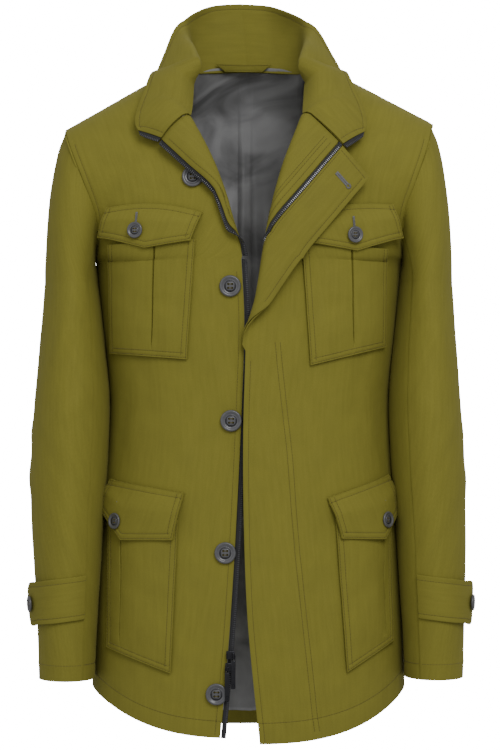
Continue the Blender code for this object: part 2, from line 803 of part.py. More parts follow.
def build_sleeves():
    """Top sleeve and under sleeve on each side."""
    for side in SIDES:
        pieces = {"sleeve_under": (SEAM_FRONT, SEAM_BACK, 5),
                  "sleeve_top": (SEAM_BACK - 360.0, SEAM_FRONT, 12)}
        for name, (start, end, count) in pieces.items():
            rows = []
            for share in SLEEVE_LEVELS:
                line = []
                for degrees in spread(start + SLEEVE_SEAM, end - SLEEVE_SEAM, count):
                    angle = math.radians(degrees)
                    point = sleeve_point(side, share, angle)
                    if share == 0.0:
                        ahead = (sleeve_point(side, 0.02, angle) - point).normalized()
                        high = 0.5 + 0.5 * math.cos(angle)
                        point = point + ahead * mix(ARMHOLE_GAP, ARMHOLE_GAP_TOP, high)
                    line.append(point)
                rows.append(line)
            outward = Vector((SIDES[side], 0.0, 0.0)) * (1.0 if name == "sleeve_top" else -1.0)
            sheet(f"{name}_{side}", rows, outward, SHELL, "olive")


def sleeve_frame(side, z, degrees, lift):
    """Point held off a sleeve, with its outward normal."""
    angle = math.radians(degrees)
    point = sleeve_ring(side, z, angle)
    across = sleeve_ring(side, z, angle + 0.02) - sleeve_ring(side, z, angle - 0.02)
    along = sleeve_ring(side, z + 0.002, angle) - sleeve_ring(side, z - 0.002, angle)
    normal = across.cross(along).normalized()
    centre = 0.5 * (sleeve_ring(side, z, 0.0) + sleeve_ring(side, z, math.pi))
    if normal.dot(point - centre) < 0.0:
        normal.negate()
    return point + normal * lift, normal


# ---- collar --------------------------------------------------------------------------------
COLLAR_STEPS = 6


def collar_section(side, share, fronts):
    """One section of the collar, seam to free edge, and which way its outer face looks."""
    sign = SIDES[side]
    if share <= COLLAR[-1].share:
        seam, middle, edge = read(COLLAR, share, "seam", "middle", "edge")
        lean = COLLAR_LEAN * ease((COLLAR[-1].share - share) / COLLAR[-1].share)
        points = []
        for step in range(COLLAR_STEPS):
            t = step / (COLLAR_STEPS - 1)
            bent = 2.0 * middle - 0.5 * (seam + edge)
            point = seam * (1 - t) ** 2 + bent * (2 * t * (1 - t)) + edge * t * t
            points.append(Vector((sign * point.x + lean * t, point.y, point.z)))
        return points
    part = (share - COLLAR[-1].share) / (1.0 - COLLAR[-1].share)
    grid = fronts[side]
    row = grid.rows[grid.top]
    zip_at = column_at(row, PLACKET_WIDE) if side == "left" else float(len(row) - 1)
    at = mix(grid.chest + 1.6, zip_at, max(0.0, part - 0.35) / 0.65)
    base = min(int(at), len(row) - 2)
    seam = mix(row[base], row[base + 1], at - base)
    start = Vector(COLLAR[-1].seam)
    start.x *= sign
    if part < 0.35:
        seam = mix(start, seam, part / 0.35)
    else:
        seam = seam + Vector((sign * 0.0020, 0.0, 0.0032))
    corner = read(COLLAR_CORNER, part, "x", "z")
    edge = on_front(side, corner[0], corner[1], read(COLLAR_CORNER, part, "lift"))
    points = []
    for step in range(COLLAR_STEPS):
        t = step / (COLLAR_STEPS - 1)
        hump = read(COLLAR_CORNER, part, "hump") * math.sin(math.pi * t)
        point = mix(seam, edge, t) + Vector((-sign * 0.35, -0.75, 0.55)).normalized() * hump
        points.append(point)
    return points


class CornerRow(NamedTuple):
    """Free edge of the collar's turned front end, over the shoulder and down to its corner."""
    share: float
    x: float
    z: float
    lift: float
    hump: float


COLLAR_CORNER = (
    CornerRow(0.00, 0.1180, -0.0120, 0.0080, 0.0200),
    CornerRow(0.35, 0.1310, -0.0430, 0.0085, 0.0120),
    CornerRow(0.65, 0.1375, -0.0640, 0.0090, 0.0060),
    CornerRow(0.85, 0.1380, -0.0760, 0.0090, 0.0030),
    CornerRow(1.00, 0.1330, -0.0850, 0.0090, 0.0010),
)


def build_collar(fronts):
    """Outer and inner collar, each one band right round the neck."""
    shares = spread(0.0, COLLAR[-1].share, 9) + [0.76, 0.84, 0.92, 1.0]
    rows = [collar_section("right", share, fronts) for share in reversed(shares)]
    rows += [collar_section("left", share, fronts) for share in shares[1:]]
    normals = grid_normals(rows, Vector((0.0, 0.0, 0.0)))
    middle = len(rows) // 2
    if normals[middle][2].y < 0.0:
        normals = [[-normal for normal in line] for line in normals]
    sheet("collar_outer", rows, Vector((0.0, 0.3, -1.0)), SHELL, "olive", normals=normals)
    inner = [[p - n * UNDER for p, n in zip(line, turns)] for line, turns in zip(rows, normals)]
    sheet("collar_inner", inner, Vector((0.0, 0.3, -1.0)), FACING, "olive_inner", normals=normals)


# ---- pockets, flaps and tabs ---------------------------------------------------------------
class PocketShape(NamedTuple):
    """A patch pocket: x and z of its four corners, outer side first, and its pleat."""
    top_outer: tuple
    top_inner: tuple
    low_outer: tuple
    low_inner: tuple
    pleat: float


POCKETS = {
    "chest_pocket_right": PocketShape(
        (0.1690, -0.2185), (0.0674, -0.2138),
        (0.1660, -0.3480), (0.0769, -0.3552), 0.54),
    "chest_pocket_left": PocketShape(
        (0.1620, -0.2225), (0.0580, -0.2185),
        (0.1600, -0.3400), (0.0680, -0.3622), 0.43),
    "hip_pocket_right": PocketShape(
        (0.1680, -0.5450), (0.0870, -0.5450),
        (0.1700, -0.7000), (0.0957, -0.7262), 0.20),
    "hip_pocket_left": PocketShape(
        (0.1670, -0.5450), (0.0980, -0.5450),
        (0.1690, -0.6930), (0.1116, -0.7262), 0.16),
}


class FlapShape(NamedTuple):
    """A pocket flap: x and z of its corners, and where its pointed lower edge turns."""
    top_outer: tuple
    top_inner: tuple
    low_outer: tuple
    low_inner: tuple
    point: tuple
    arch: float


FLAPS = {
    "chest_flap_right": FlapShape(
        (0.1720, -0.1745), (0.0592, -0.1820),
        (0.1760, -0.2090), (0.0722, -0.2150), (0.5, -0.2225), 0.007),
    "chest_flap_left": FlapShape(
        (0.1690, -0.1695), (0.0560, -0.1820),
        (0.1750, -0.2090), (0.0690, -0.2180), (0.5, -0.2250), 0.004),
    "hip_flap_right": FlapShape(
        (0.1660, -0.5000), (0.0804, -0.5142),
        (0.1710, -0.5360), (0.0922, -0.5690), (0.28, -0.5710), 0.000),
    "hip_flap_left": FlapShape(
        (0.1650, -0.4950), (0.0892, -0.5200),
        (0.1700, -0.5400), (0.1040, -0.5680), (0.25, -0.5710), 0.000),
}
BAG_LIFT = 0.0042       # how far a pocket bag stands off the front, past its own wall
BAG_PUFF = 0.0022
FLAP_LIFT = 0.0106
FLAP_TOP_LIFT = 0.0046
FLAP_THICK = 0.0022


def build_pockets():
    """Four patch pockets, each with a valley along its inverted pleat."""
    for name, shape in POCKETS.items():
        side = name.rsplit("_", 1)[1]
        rows = []
        for v in spread(0.0, 1.0, 7):
            line = []
            for u in spread(0.0, 1.0, 9):
                x, z = mix(mix(Vector(shape.low_outer), Vector(shape.low_inner), u),
                           mix(Vector(shape.top_outer), Vector(shape.top_inner), u), v)
                puff = BAG_PUFF * min(1.0, 5.0 * min(u, 1.0 - u)) * min(1.0, 4.0 * v)
                valley = 0.0016 * max(0.0, 1.0 - abs(u - shape.pleat) / 0.13) * ease(v * 3.0)
                line.append(on_front(side, x, z, BAG_LIFT + puff - valley))
            rows.append(line)
        sheet(name, rows, Vector((0.0, -1.0, 0.0)), SHELL, "olive")


def flap_line(shape, u):
    """Top and bottom of a flap at a share across it from the outer side."""
    x_top = mix(shape.top_outer[0], shape.top_inner[0], u)
    z_top = mix(shape.top_outer[1], shape.top_inner[1], u) + shape.arch * math.sin(math.pi * u)
    x_low = mix(shape.low_outer[0], shape.low_inner[0], u)
    turn, z_turn = shape.point
    if u < turn:
        z_low = mix(shape.low_outer[1], z_turn, u / turn)
    else:
        z_low = mix(z_turn, shape.low_inner[1], (u - turn) / (1.0 - turn))
    return (x_top, z_top), (x_low, z_low)


def build_flaps():
    """Four pocket flaps with a turned lower edge."""
    for name, shape in FLAPS.items():
        side = name.rsplit("_", 1)[1]
        turn = shape.point[0]
        shares = spread(0.0, turn, 4) + spread(turn, 1.0, 5)[1:]
        rows = []
        for v in spread(0.0, 1.0, 4):
            line = []
            for u in shares:
                top, low = flap_line(shape, u)
                lift = mix(FLAP_LIFT, FLAP_TOP_LIFT, ease(v * 2.2 - 1.2))
                line.append(on_front(side, mix(low[0], top[0], v), mix(low[1], top[1], v), lift))
            rows.append(line)
        sheet(name, rows, Vector((0.0, -1.0, 0.0)), FLAP_THICK, "olive")


class TabRow(NamedTuple):
    """A cuff tab along its length: degrees round the sleeve, its two edges and how far it stands off."""
    share: float
    degrees: float
    z_top: float
    z_low: float
    lift: float


CUFF_TAB = (
    TabRow(0.00, 123.0, -0.6120, -0.6640, 0.0030),
    TabRow(0.25, 96.0, -0.6140, -0.6660, 0.0034),
    TabRow(0.50, 66.0, -0.6170, -0.6690, 0.0040),
    TabRow(0.75, 36.0, -0.6205, -0.6715, 0.0055),
    TabRow(0.92, 14.0, -0.6230, -0.6735, 0.0085),
    TabRow(1.00, 3.0, -0.6330, -0.6610, 0.0100),
)
TAB_THICK = 0.0022


def build_cuff_tabs():
    """Pointed tab round each cuff from the front seam to the outer side."""
    for side in SIDES:
        rows = []
        for share in spread(0.0, 1.0, 13):
            degrees, top, low, lift = read(CUFF_TAB, share, "degrees", "z_top", "z_low", "lift")
            line = [sleeve_frame(side, mix(low, top, v), degrees, lift)[0] for v in spread(0.0, 1.0, 3)]
            rows.append(line)
        outward = Vector((SIDES[side], -1.0, 0.0))
        sheet(f"cuff_tab_{side}", rows, outward, TAB_THICK, "olive")


def build_hanger_loop():
    """Short cloth loop under the collar at the centre back."""
    top_z, low_z = 0.0140, 0.0045
    half_top, half_low = 0.0350, 0.0230
    rows = []
    for v in spread(0.0, 1.0, 3):
        half = mix(half_low, half_top, v)
        z = mix(low_z, top_z, v)
        line = []
        for u in spread(-1.0, 1.0, 9):
            x = half * u + 0.5 * COLLAR_LEAN
            y = 0.0665 - 0.0035 * math.cos(0.5 * math.pi * u) - 6.0 * x * x
            line.append(Vector((x, y, z)))
        rows.append(line)
    sheet("hanger_loop", rows, Vector((0.0, -1.0, 0.0)), 0.0018, "olive_inner")


# ---- buttons -------------------------------------------------------------------------------
def turned_disc(name, radius, thick, finish):
    """A turned button with a raised rim, its base on z = 0."""
    profile = [(0.0, 0.0), (radius * 0.86, 0.0), (radius, thick * 0.45), (radius * 0.93, thick),
               (radius * 0.76, thick * 0.95), (radius * 0.66, thick * 0.62), (0.0, thick * 0.62)]
    bm = bmesh.new()
    verts = [bm.verts.new((x, 0.0, z)) for x, z in profile]
    edges = [bm.edges.new(pair) for pair in zip(verts, verts[1:])]
    bmesh.ops.spin(bm, geom=verts + edges, axis=(0, 0, 1), cent=(0, 0, 0), angle=math.tau,
                   steps=16, use_merge=True)
    bmesh.ops.remove_doubles(bm, verts=bm.verts[:], dist=1e-6)
    bmesh.ops.recalc_face_normals(bm, faces=bm.faces[:])
    mesh = bpy.data.meshes.new(name)
    bm.to_mesh(mesh)
    bm.free()
    piece = place(name, mesh, finish)
    mesh.set_sharp_from_angle(angle=math.radians(40.0))
    return piece


def seat(piece, point, normal, up):
    """Stand a button on a point, its axis along the normal."""
    side = up.cross(normal).normalized()
    turned = Matrix((side, normal.cross(side), normal)).transposed()
    piece.matrix_world = Matrix.Translation(point) @ turned.to_4x4()


class ButtonPlace(NamedTuple):
    """A button on a front: its side, x, z, how far it stands off, and its radius."""
    name: str
    side: str
    x: float
    z: float
    lift: float
    radius: float


BUTTONS = (
    ButtonPlace("front_button_1", "right", 0.0700, -0.1390, 0.0006, FRONT_BUTTON),
    ButtonPlace("front_button_2", "right", 0.0262, -0.2690, 0.0006, FRONT_BUTTON),
    ButtonPlace("front_button_3", "right", 0.0250, -0.4280, 0.0006, FRONT_BUTTON),
    ButtonPlace("front_button_4", "right", 0.0320, -0.5840, 0.0006, FRONT_BUTTON),
    ButtonPlace("front_button_5", "right", 0.0425, -0.7500, 0.0006, FRONT_BUTTON),
    ButtonPlace("chest_button_right", "right", 0.1335, -0.2030, 0.0114, FLAP_BUTTON),
    ButtonPlace("chest_button_left", "left", 0.1180, -0.2080, 0.0114, FLAP_BUTTON),
    ButtonPlace("hip_button_right", "right", 0.1540, -0.5490, 0.0114, FLAP_BUTTON),
    ButtonPlace("hip_button_left", "left", 0.1550, -0.5480, 0.0114, FLAP_BUTTON),
)


def build_buttons():
    """All eleven buttons."""
    for spot in BUTTONS:
        thick = 0.0038 if spot.radius == FRONT_BUTTON else 0.0032
        piece = turned_disc(spot.name, spot.radius, thick, "horn")
        point, normal, up = body_frame(spot.side, "front", spot.x, spot.z)
        seat(piece, point + normal * spot.lift, normal, up)
    for side in SIDES:
        piece = turned_disc(f"cuff_button_{side}", CUFF_BUTTON, 0.0032, "horn")
        point, normal = sleeve_frame(side, -0.6475, 20.0, 0.0088)
        seat(piece, point, normal, Vector((0.0, 0.0, 1.0)))


# ---- zip sliders and pull tabs -------------------------------------------------------------
WORN_EDGE = 0.0004
SLIDER_SIZE = (0.0100, 0.0046, 0.0100)   # wide, deep, tall
ARCH_WIDE = 0.0018
ARCH_BAR = 0.0011
ARCH_HOLE = 0.0036
TAB_SIZE = (0.0052, 0.0012, 0.0400)      # wide, thick, long
TAB_BAR = 0.0011
SLIDER_SPOTS = {"upper": (-0.7040, 0.0031), "lower": (-0.7180, -0.0031)}   # z of the pivot, shift in x


def block(bm, low, high):
    """A box between two corners."""
    made = bmesh.ops.create_cube(bm, size=1.0)["verts"]
    size = Vector(high) - Vector(low)
    bmesh.ops.scale(bm, verts=made, vec=size)
    bmesh.ops.translate(bm, verts=made, vec=(Vector(low) + Vector(high)) * 0.5)


def box_piece(name, low, high, finish):
    """A named box with worn edges."""
    bm = bmesh.new()
    block(bm, low, high)
    bmesh.ops.bevel(bm, geom=bm.edges[:], offset=WORN_EDGE, segments=1, affect="EDGES", profile=0.5,
                    material=-1)
    mesh = bpy.data.meshes.new(name)
    bm.to_mesh(mesh)
    bm.free()
    return place(name, mesh, finish, smooth=False)


def cut(piece, name, low, high):
    """Cut a box out of a piece."""
    tool = box_piece(name, low, high, "metal")
    tool.hide_render = True
    tool.display_type = "WIRE"
    hole = piece.modifiers.new(name, "BOOLEAN")
    hole.operation = "DIFFERENCE"
    hole.solver = "EXACT"
    hole.object = tool
    return tool


def zip_centre(grid, z):
    """Middle of the visible zip on the wearer's right front at a height."""
    for low, high in zip(grid.rows, grid.rows[1:]):
        if low[-1].z <= z <= high[-1].z:
            edge = mix(low[-1], high[-1], (z - low[-1].z) / (high[-1].z - low[-1].z))
            return edge + Vector((0.5 * ZIP_BAND + GAP, 0.0, 0.0))
    return grid.rows[0][-1]


def build_sliders(grid):
    """Two sliders of the two-way zip, each with a hanging pull tab on its own pivot."""
    wide, deep, tall = SLIDER_SIZE
    for name, (pivot_z, shift) in SLIDER_SPOTS.items():
        middle = zip_centre(grid, pivot_z)
        front = middle.y - GAP - 0.0004
        body = box_piece(f"zip_slider_{name}", (middle.x - wide / 2, front - deep, pivot_z - tall / 2),
                         (middle.x + wide / 2, front, pivot_z + tall / 2), "metal")
        pivot = Vector((middle.x + shift, front - deep - ARCH_HOLE / 2 + 0.0002, pivot_z))
        arch_low = (pivot.x - ARCH_WIDE / 2, pivot.y - ARCH_HOLE / 2 - ARCH_BAR, pivot_z - 0.0034)
        arch_high = (pivot.x + ARCH_WIDE / 2, front - deep / 2, pivot_z + 0.0034)
        arch = box_piece(f"arch_{name}", arch_low, arch_high, "metal")
        arch.hide_render = True
        arch.display_type = "WIRE"
        join = body.modifiers.new("arch", "BOOLEAN")
        join.operation = "UNION"
        join.solver = "EXACT"
        join.object = arch
        cut(body, f"arch_hole_{name}", (pivot.x - 0.0030, pivot.y - ARCH_HOLE / 2, pivot_z - 0.0022),
            (pivot.x + 0.0030, pivot.y + ARCH_HOLE / 2, pivot_z + 0.0022))
        build_pull_tab(name, pivot)


def build_pull_tab(name, pivot):
    """A flat tab whose top bar passes under the slider's arch."""
    wide, thick, long = TAB_SIZE
    holder = bpy.data.objects.new(f"pivot_{name}", None)
    holder.location = pivot
    bpy.context.scene.collection.objects.link(holder)
    top = TAB_BAR / 2
    tab = box_piece(f"pull_tab_{name}", (-wide / 2, -thick / 2, top - long),
                    (wide / 2, thick / 2, top), "metal")
    window = cut(tab, f"window_{name}", (-0.0015, -0.0030, -0.0060), (0.0015, 0.0030, top - TAB_BAR))
    tab.parent = holder
    window.parent = holder


def main():
    """Build the jacket."""
    for existing in list(bpy.data.objects):
        bpy.data.objects.remove(existing, do_unlink=True)
    fronts = {side: front_grid(side) for side in SIDES}
    for side in SIDES:
        build_front(side, fronts[side])
        build_facing(side, fronts[side])
    build_placket(fronts["left"])
    build_zip_left(fronts)
    build_zip_right(fronts)
    build_backs()
    build_sleeves()
    build_collar(fronts)
    for side in SIDES:
        build_collar_zip(side, fronts)
    build_pockets()
    build_flaps()
    build_cuff_tabs()
    build_hanger_loop()
    build_buttons()
    build_sliders(fronts["right"])


main()
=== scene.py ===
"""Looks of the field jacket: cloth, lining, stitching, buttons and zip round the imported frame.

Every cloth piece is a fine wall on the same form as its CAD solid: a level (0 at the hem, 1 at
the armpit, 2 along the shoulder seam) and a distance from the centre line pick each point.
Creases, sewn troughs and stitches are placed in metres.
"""

import logging
import math
from bisect import bisect_right
from dataclasses import dataclass, field
from enum import Enum
from typing import Callable, NamedTuple, Optional, Sequence

import bmesh
import bpy
import numpy as np
from mathutils import Matrix, Vector, noise


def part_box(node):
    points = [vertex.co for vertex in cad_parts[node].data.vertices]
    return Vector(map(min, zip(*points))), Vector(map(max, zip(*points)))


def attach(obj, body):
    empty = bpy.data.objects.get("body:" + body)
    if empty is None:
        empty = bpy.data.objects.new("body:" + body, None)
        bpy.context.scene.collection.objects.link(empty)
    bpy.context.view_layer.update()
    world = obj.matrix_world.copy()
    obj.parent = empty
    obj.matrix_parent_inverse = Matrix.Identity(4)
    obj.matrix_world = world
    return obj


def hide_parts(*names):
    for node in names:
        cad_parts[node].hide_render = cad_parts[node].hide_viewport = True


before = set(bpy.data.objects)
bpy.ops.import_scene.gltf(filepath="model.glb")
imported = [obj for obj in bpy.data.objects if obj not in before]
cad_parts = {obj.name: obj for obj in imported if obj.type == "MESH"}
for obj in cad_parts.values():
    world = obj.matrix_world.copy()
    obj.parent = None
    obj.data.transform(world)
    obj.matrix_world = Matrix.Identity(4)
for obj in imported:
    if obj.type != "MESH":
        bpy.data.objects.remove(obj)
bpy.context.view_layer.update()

LOG = logging.getLogger("field_jacket")

# ---- driving sizes, as on the CAD solids -----------------------------------------------------
SHELL = 0.0014
FACING = 0.0012
LINING = 0.0010
PLY = 0.0010            # between two layers that bend together
UNDER = SHELL + PLY     # depth of the layer inside the shell
LAYERS = UNDER + FACING
GAP = 0.0003
SEAM = 0.0008
ARMPIT_Z = -0.235
TIP_Z = -0.0693
TIP_SKEW = 0.0053
NECK_TOP_Z = 0.040
SIDE_HEM_Z = -0.752
BACK_HEM_Z = -0.817
ARM_FRONT = 0.075
ARM_BACK = 0.068
CHEST_FRONT = 0.128
CHEST_BACK = 0.118
ROUND_FRONT = 2.2
ROUND_BACK = 3.4
SQUARE = 2.3
TURN_SHOULDER = 54.0
WRAP = 0.009
WRAP_REACH = 0.115
NECK_HALF = 0.0735
NECK_EASE = 0.0040
NECK_FOOT = 0.0125
TURN_SHARE = 0.24
ZIP_BAND = 0.0060
PLACKET_WIDE = 0.0500
FACING_WIDE = 0.075
COLLAR_LEAN = -0.007
SEAM_FRONT = 125.0
SEAM_BACK = 235.0
FRONT_BUTTON = 0.0128
FLAP_BUTTON = 0.0098
COLLAR_WALL = 0.0058
BACK_NECK = 0.900
CLEAR = 0.0010          # room between a sleeve and the body's side
LINING_EASE = 0.0016    # room between the shell and its lining
THREAD_LIFT = 0.00012   # height of the thread's middle over the cloth
SEWN_IN = 0.0005        # how far a stitched line draws the cloth in
SEWN_DEEP = 0.0006      # the same through more layers
SEWN_WIDE = 0.0011      # half width of the groove it makes
ZIP_THICK = 0.0016
TAPE_WALL = 0.0010
SLIDER_DEEP = 0.0046
SLIDER_PLATE = 0.0013
ARCH_WIDE = 0.0018
TAB_BAR = 0.0011
FLAP_BUTTON_THICK = 0.0032
FRONT_BUTTON_THICK = 0.0038
CUFF_BUTTON_SEAT = (-0.6475, 20.0, 0.0088)   # height, degrees round the sleeve, lift
LOOP_WALL = 0.0018


class Side(Enum):
    """Which side of the wearer a piece is on."""
    LEFT = 1.0
    RIGHT = -1.0

    @property
    def word(self) -> str:
        """The side's name inside piece names."""
        return self.name.lower()


class Face(Enum):
    """Front or back of the body form."""
    FRONT = "front"
    BACK = "back"


SLEEVE_NARROW = {Side.LEFT: (0.0035, 0.0), Side.RIGHT: (0.0005, 0.0060)}
FRONT_HEM_Z = {Side.LEFT: -0.808, Side.RIGHT: -0.802}
EDGE_LIFT = {Side.LEFT: 0.0145, Side.RIGHT: 0.0100}


class BodyRow(NamedTuple):
    """One level of the body below the armpit."""
    z: float
    half_width: float
    front: float
    back: float


BODY = (
    BodyRow(-0.830, 0.1915, 0.138, 0.128),
    BodyRow(-0.740, 0.1900, 0.137, 0.126),
    BodyRow(-0.640, 0.1850, 0.133, 0.121),
    BodyRow(-0.540, 0.1790, 0.129, 0.115),
    BodyRow(-0.430, 0.1720, 0.127, 0.110),
    BodyRow(-0.330, 0.1795, 0.129, 0.114),
    BodyRow(-0.235, 0.1870, 0.128, 0.118),
)


class ArmholeRow(NamedTuple):
    """Half width of the armhole seam, by share of its height."""
    share: float
    front: float
    back: float


ARMHOLE = (
    ArmholeRow(0.00, 0.1870, 0.1870),
    ArmholeRow(0.20, 0.1845, 0.1880),
    ArmholeRow(0.38, 0.1890, 0.1930),
    ArmholeRow(0.58, 0.2005, 0.2030),
    ArmholeRow(0.80, 0.2140, 0.2150),
    ArmholeRow(1.00, 0.2245, 0.2245),
)


class TurnRow(NamedTuple):
    """One row of a turned-back front: where it rolls, and where its free edge lies."""
    share: float
    roll_x: float
    roll_z: float
    edge_x: float
    edge_z: float


TURNED = {
    Side.RIGHT: (
        TurnRow(0.00, 0.0130, -0.2370, 0.0130, -0.2370),
        TurnRow(0.25, 0.0245, -0.1800, 0.0285, -0.1900),
        TurnRow(0.50, 0.0365, -0.1400, 0.0480, -0.1610),
        TurnRow(0.75, 0.0500, -0.1076, 0.0725, -0.1365),
        TurnRow(1.00, 0.0690, -0.0697, 0.1016, -0.1090),
    ),
    Side.LEFT: (
        TurnRow(0.00, -0.0085, -0.3456, -0.0085, -0.3456),
        TurnRow(0.25, 0.0035, -0.2755, 0.0221, -0.2927),
        TurnRow(0.50, 0.0143, -0.2050, 0.0548, -0.2429),
        TurnRow(0.75, 0.0315, -0.1340, 0.0937, -0.1976),
        TurnRow(1.00, 0.0566, -0.0673, 0.1328, -0.1525),
    ),
}


class EdgeRow(NamedTuple):
    """Front edge below the turned part, measured towards the wearer's own side."""
    z: float
    x: float


FRONT_EDGE = {
    Side.RIGHT: (
        EdgeRow(-0.830, 0.0410),
        EdgeRow(-0.700, 0.0290),
        EdgeRow(-0.600, 0.0220),
        EdgeRow(-0.500, 0.0165),
        EdgeRow(-0.400, 0.0120),
        EdgeRow(-0.310, 0.0095),
        EdgeRow(-0.237, 0.0130),
    ),
    Side.LEFT: (
        EdgeRow(-0.830, 0.0105),
        EdgeRow(-0.720, -0.0012),
        EdgeRow(-0.650, -0.0070),
        EdgeRow(-0.550, -0.0105),
        EdgeRow(-0.450, -0.0112),
        EdgeRow(-0.3456, -0.0085),
    ),
}


class CollarRow(NamedTuple):
    """One section of the collar from neck seam over its middle to the free edge."""
    share: float
    seam: tuple
    middle: tuple
    edge: tuple


COLLAR = (
    CollarRow(0.000, (0.0000, 0.0790, 0.0110), (0.0000, 0.0880, 0.0560), (0.0000, 0.0900, 0.0930)),
    CollarRow(0.160, (0.0370, 0.0680, 0.0080), (0.0390, 0.0790, 0.0530), (0.0370, 0.0800, 0.0890)),
    CollarRow(0.310, (0.0620, 0.0440, 0.0045), (0.0675, 0.0520, 0.0460), (0.0670, 0.0500, 0.0730)),
    CollarRow(0.430, (0.0720, 0.0150, 0.0030), (0.0735, 0.0180, 0.0390), (0.0860, 0.0270, 0.0530)),
    CollarRow(0.550, (0.0725, -0.0150, -0.0040), (0.0710, -0.0180, 0.0270), (0.1010, 0.0000, 0.0180)),
    CollarRow(0.670, (0.0700, -0.0460, -0.0180), (0.0655, -0.0520, 0.0060), (0.1125, -0.0270, -0.0110)),
)


class CornerRow(NamedTuple):
    """Free edge of the collar's turned front end, over the shoulder and down to its corner."""
    share: float
    x: float
    z: float
    lift: float
    hump: float


COLLAR_CORNER = (
    CornerRow(0.00, 0.1125, -0.0120, 0.0080, 0.0200),
    CornerRow(0.35, 0.1240, -0.0430, 0.0085, 0.0120),
    CornerRow(0.65, 0.1320, -0.0650, 0.0090, 0.0060),
    CornerRow(0.85, 0.1340, -0.0785, 0.0090, 0.0030),
    CornerRow(1.00, 0.1310, -0.0870, 0.0090, 0.0010),
)


class SleeveRow(NamedTuple):
    """One level ring of a sleeve."""
    z: float
    outer: float
    inner: float
    front: float
    back: float


SLEEVE = (
    SleeveRow(-0.262, 0.2485, 0.1828, -0.090, 0.078),
    SleeveRow(-0.330, 0.2545, 0.1742, -0.097, 0.066),
    SleeveRow(-0.400, 0.2605, 0.1692, -0.104, 0.052),
    SleeveRow(-0.470, 0.2645, 0.1708, -0.108, 0.038),
    SleeveRow(-0.540, 0.2655, 0.1758, -0.110, 0.024),
    SleeveRow(-0.610, 0.2650, 0.1800, -0.110, 0.012),
    SleeveRow(-0.680, 0.2625, 0.1845, -0.110, 0.002),
    SleeveRow(-0.738, 0.2610, 0.1870, -0.109, -0.002),
)


# ---- small helpers ---------------------------------------------------------------------------
def mix(a, b, share: float):
    """Straight mix of two numbers or vectors."""
    return a + (b - a) * share


def ease(value: float) -> float:
    """Smooth step from 0 to 1."""
    value = max(0.0, min(1.0, value))
    return value * value * (3.0 - 2.0 * value)


def spread(start: float, end: float, count: int) -> list[float]:
    """Evenly spaced values, both ends included."""
    return [mix(start, end, index / (count - 1)) for index in range(count)]


def crowded(count: int, fine: int, step: float, at_start: bool = False, at_end: bool = True) -> list[float]:
    """Values from 0 to 1 that crowd where a seam needs fine cloth.

    Args:
        count: how many values span the open middle.
        fine: how many fine steps a crowded end has.
        step: the fine step.
        at_start: crowd the start.
        at_end: crowd the end.

    Returns:
        The values in order.
    """
    low = [step * index for index in range(fine)] if at_start else []
    high = [1.0 - step * index for index in range(fine)][::-1] if at_end else []
    first = step * fine if at_start else 0.0
    last = 1.0 - step * fine if at_end else 1.0
    return low + spread(first, last, count) + high


class Curve:
    """Smooth reading of one column of a table against another."""

    def __init__(self, rows: Sequence[NamedTuple], key: str, column: str) -> None:
        """Work out the slope at every row.

        Args:
            rows: the table.
            key: name of the column to read at, in rising order.
            column: name of the column to read.
        """
        self.keys = [getattr(row, key) for row in rows]
        values = [getattr(row, column) for row in rows]
        self.values = [Vector(value) if isinstance(value, tuple) else value for value in values]
        self.slopes = []
        last = len(rows) - 1
        for index in range(len(rows)):
            low, high = max(0, index - 1), min(last, index + 1)
            rise = self.values[high] - self.values[low]
            self.slopes.append(rise / (self.keys[high] - self.keys[low]))

    def __call__(self, at: float):
        """The column's value at a key, held at the table's ends."""
        keys = self.keys
        at = max(keys[0], min(keys[-1], at))
        index = min(bisect_right(keys, at) - 1, len(keys) - 2)
        width = keys[index + 1] - keys[index]
        t = (at - keys[index]) / width
        t2, t3 = t * t, t * t * t
        return (self.values[index] * (2 * t3 - 3 * t2 + 1) + self.slopes[index] * (width * (t3 - 2 * t2 + t))
                + self.values[index + 1] * (3 * t2 - 2 * t3) + self.slopes[index + 1] * (width * (t3 - t2)))


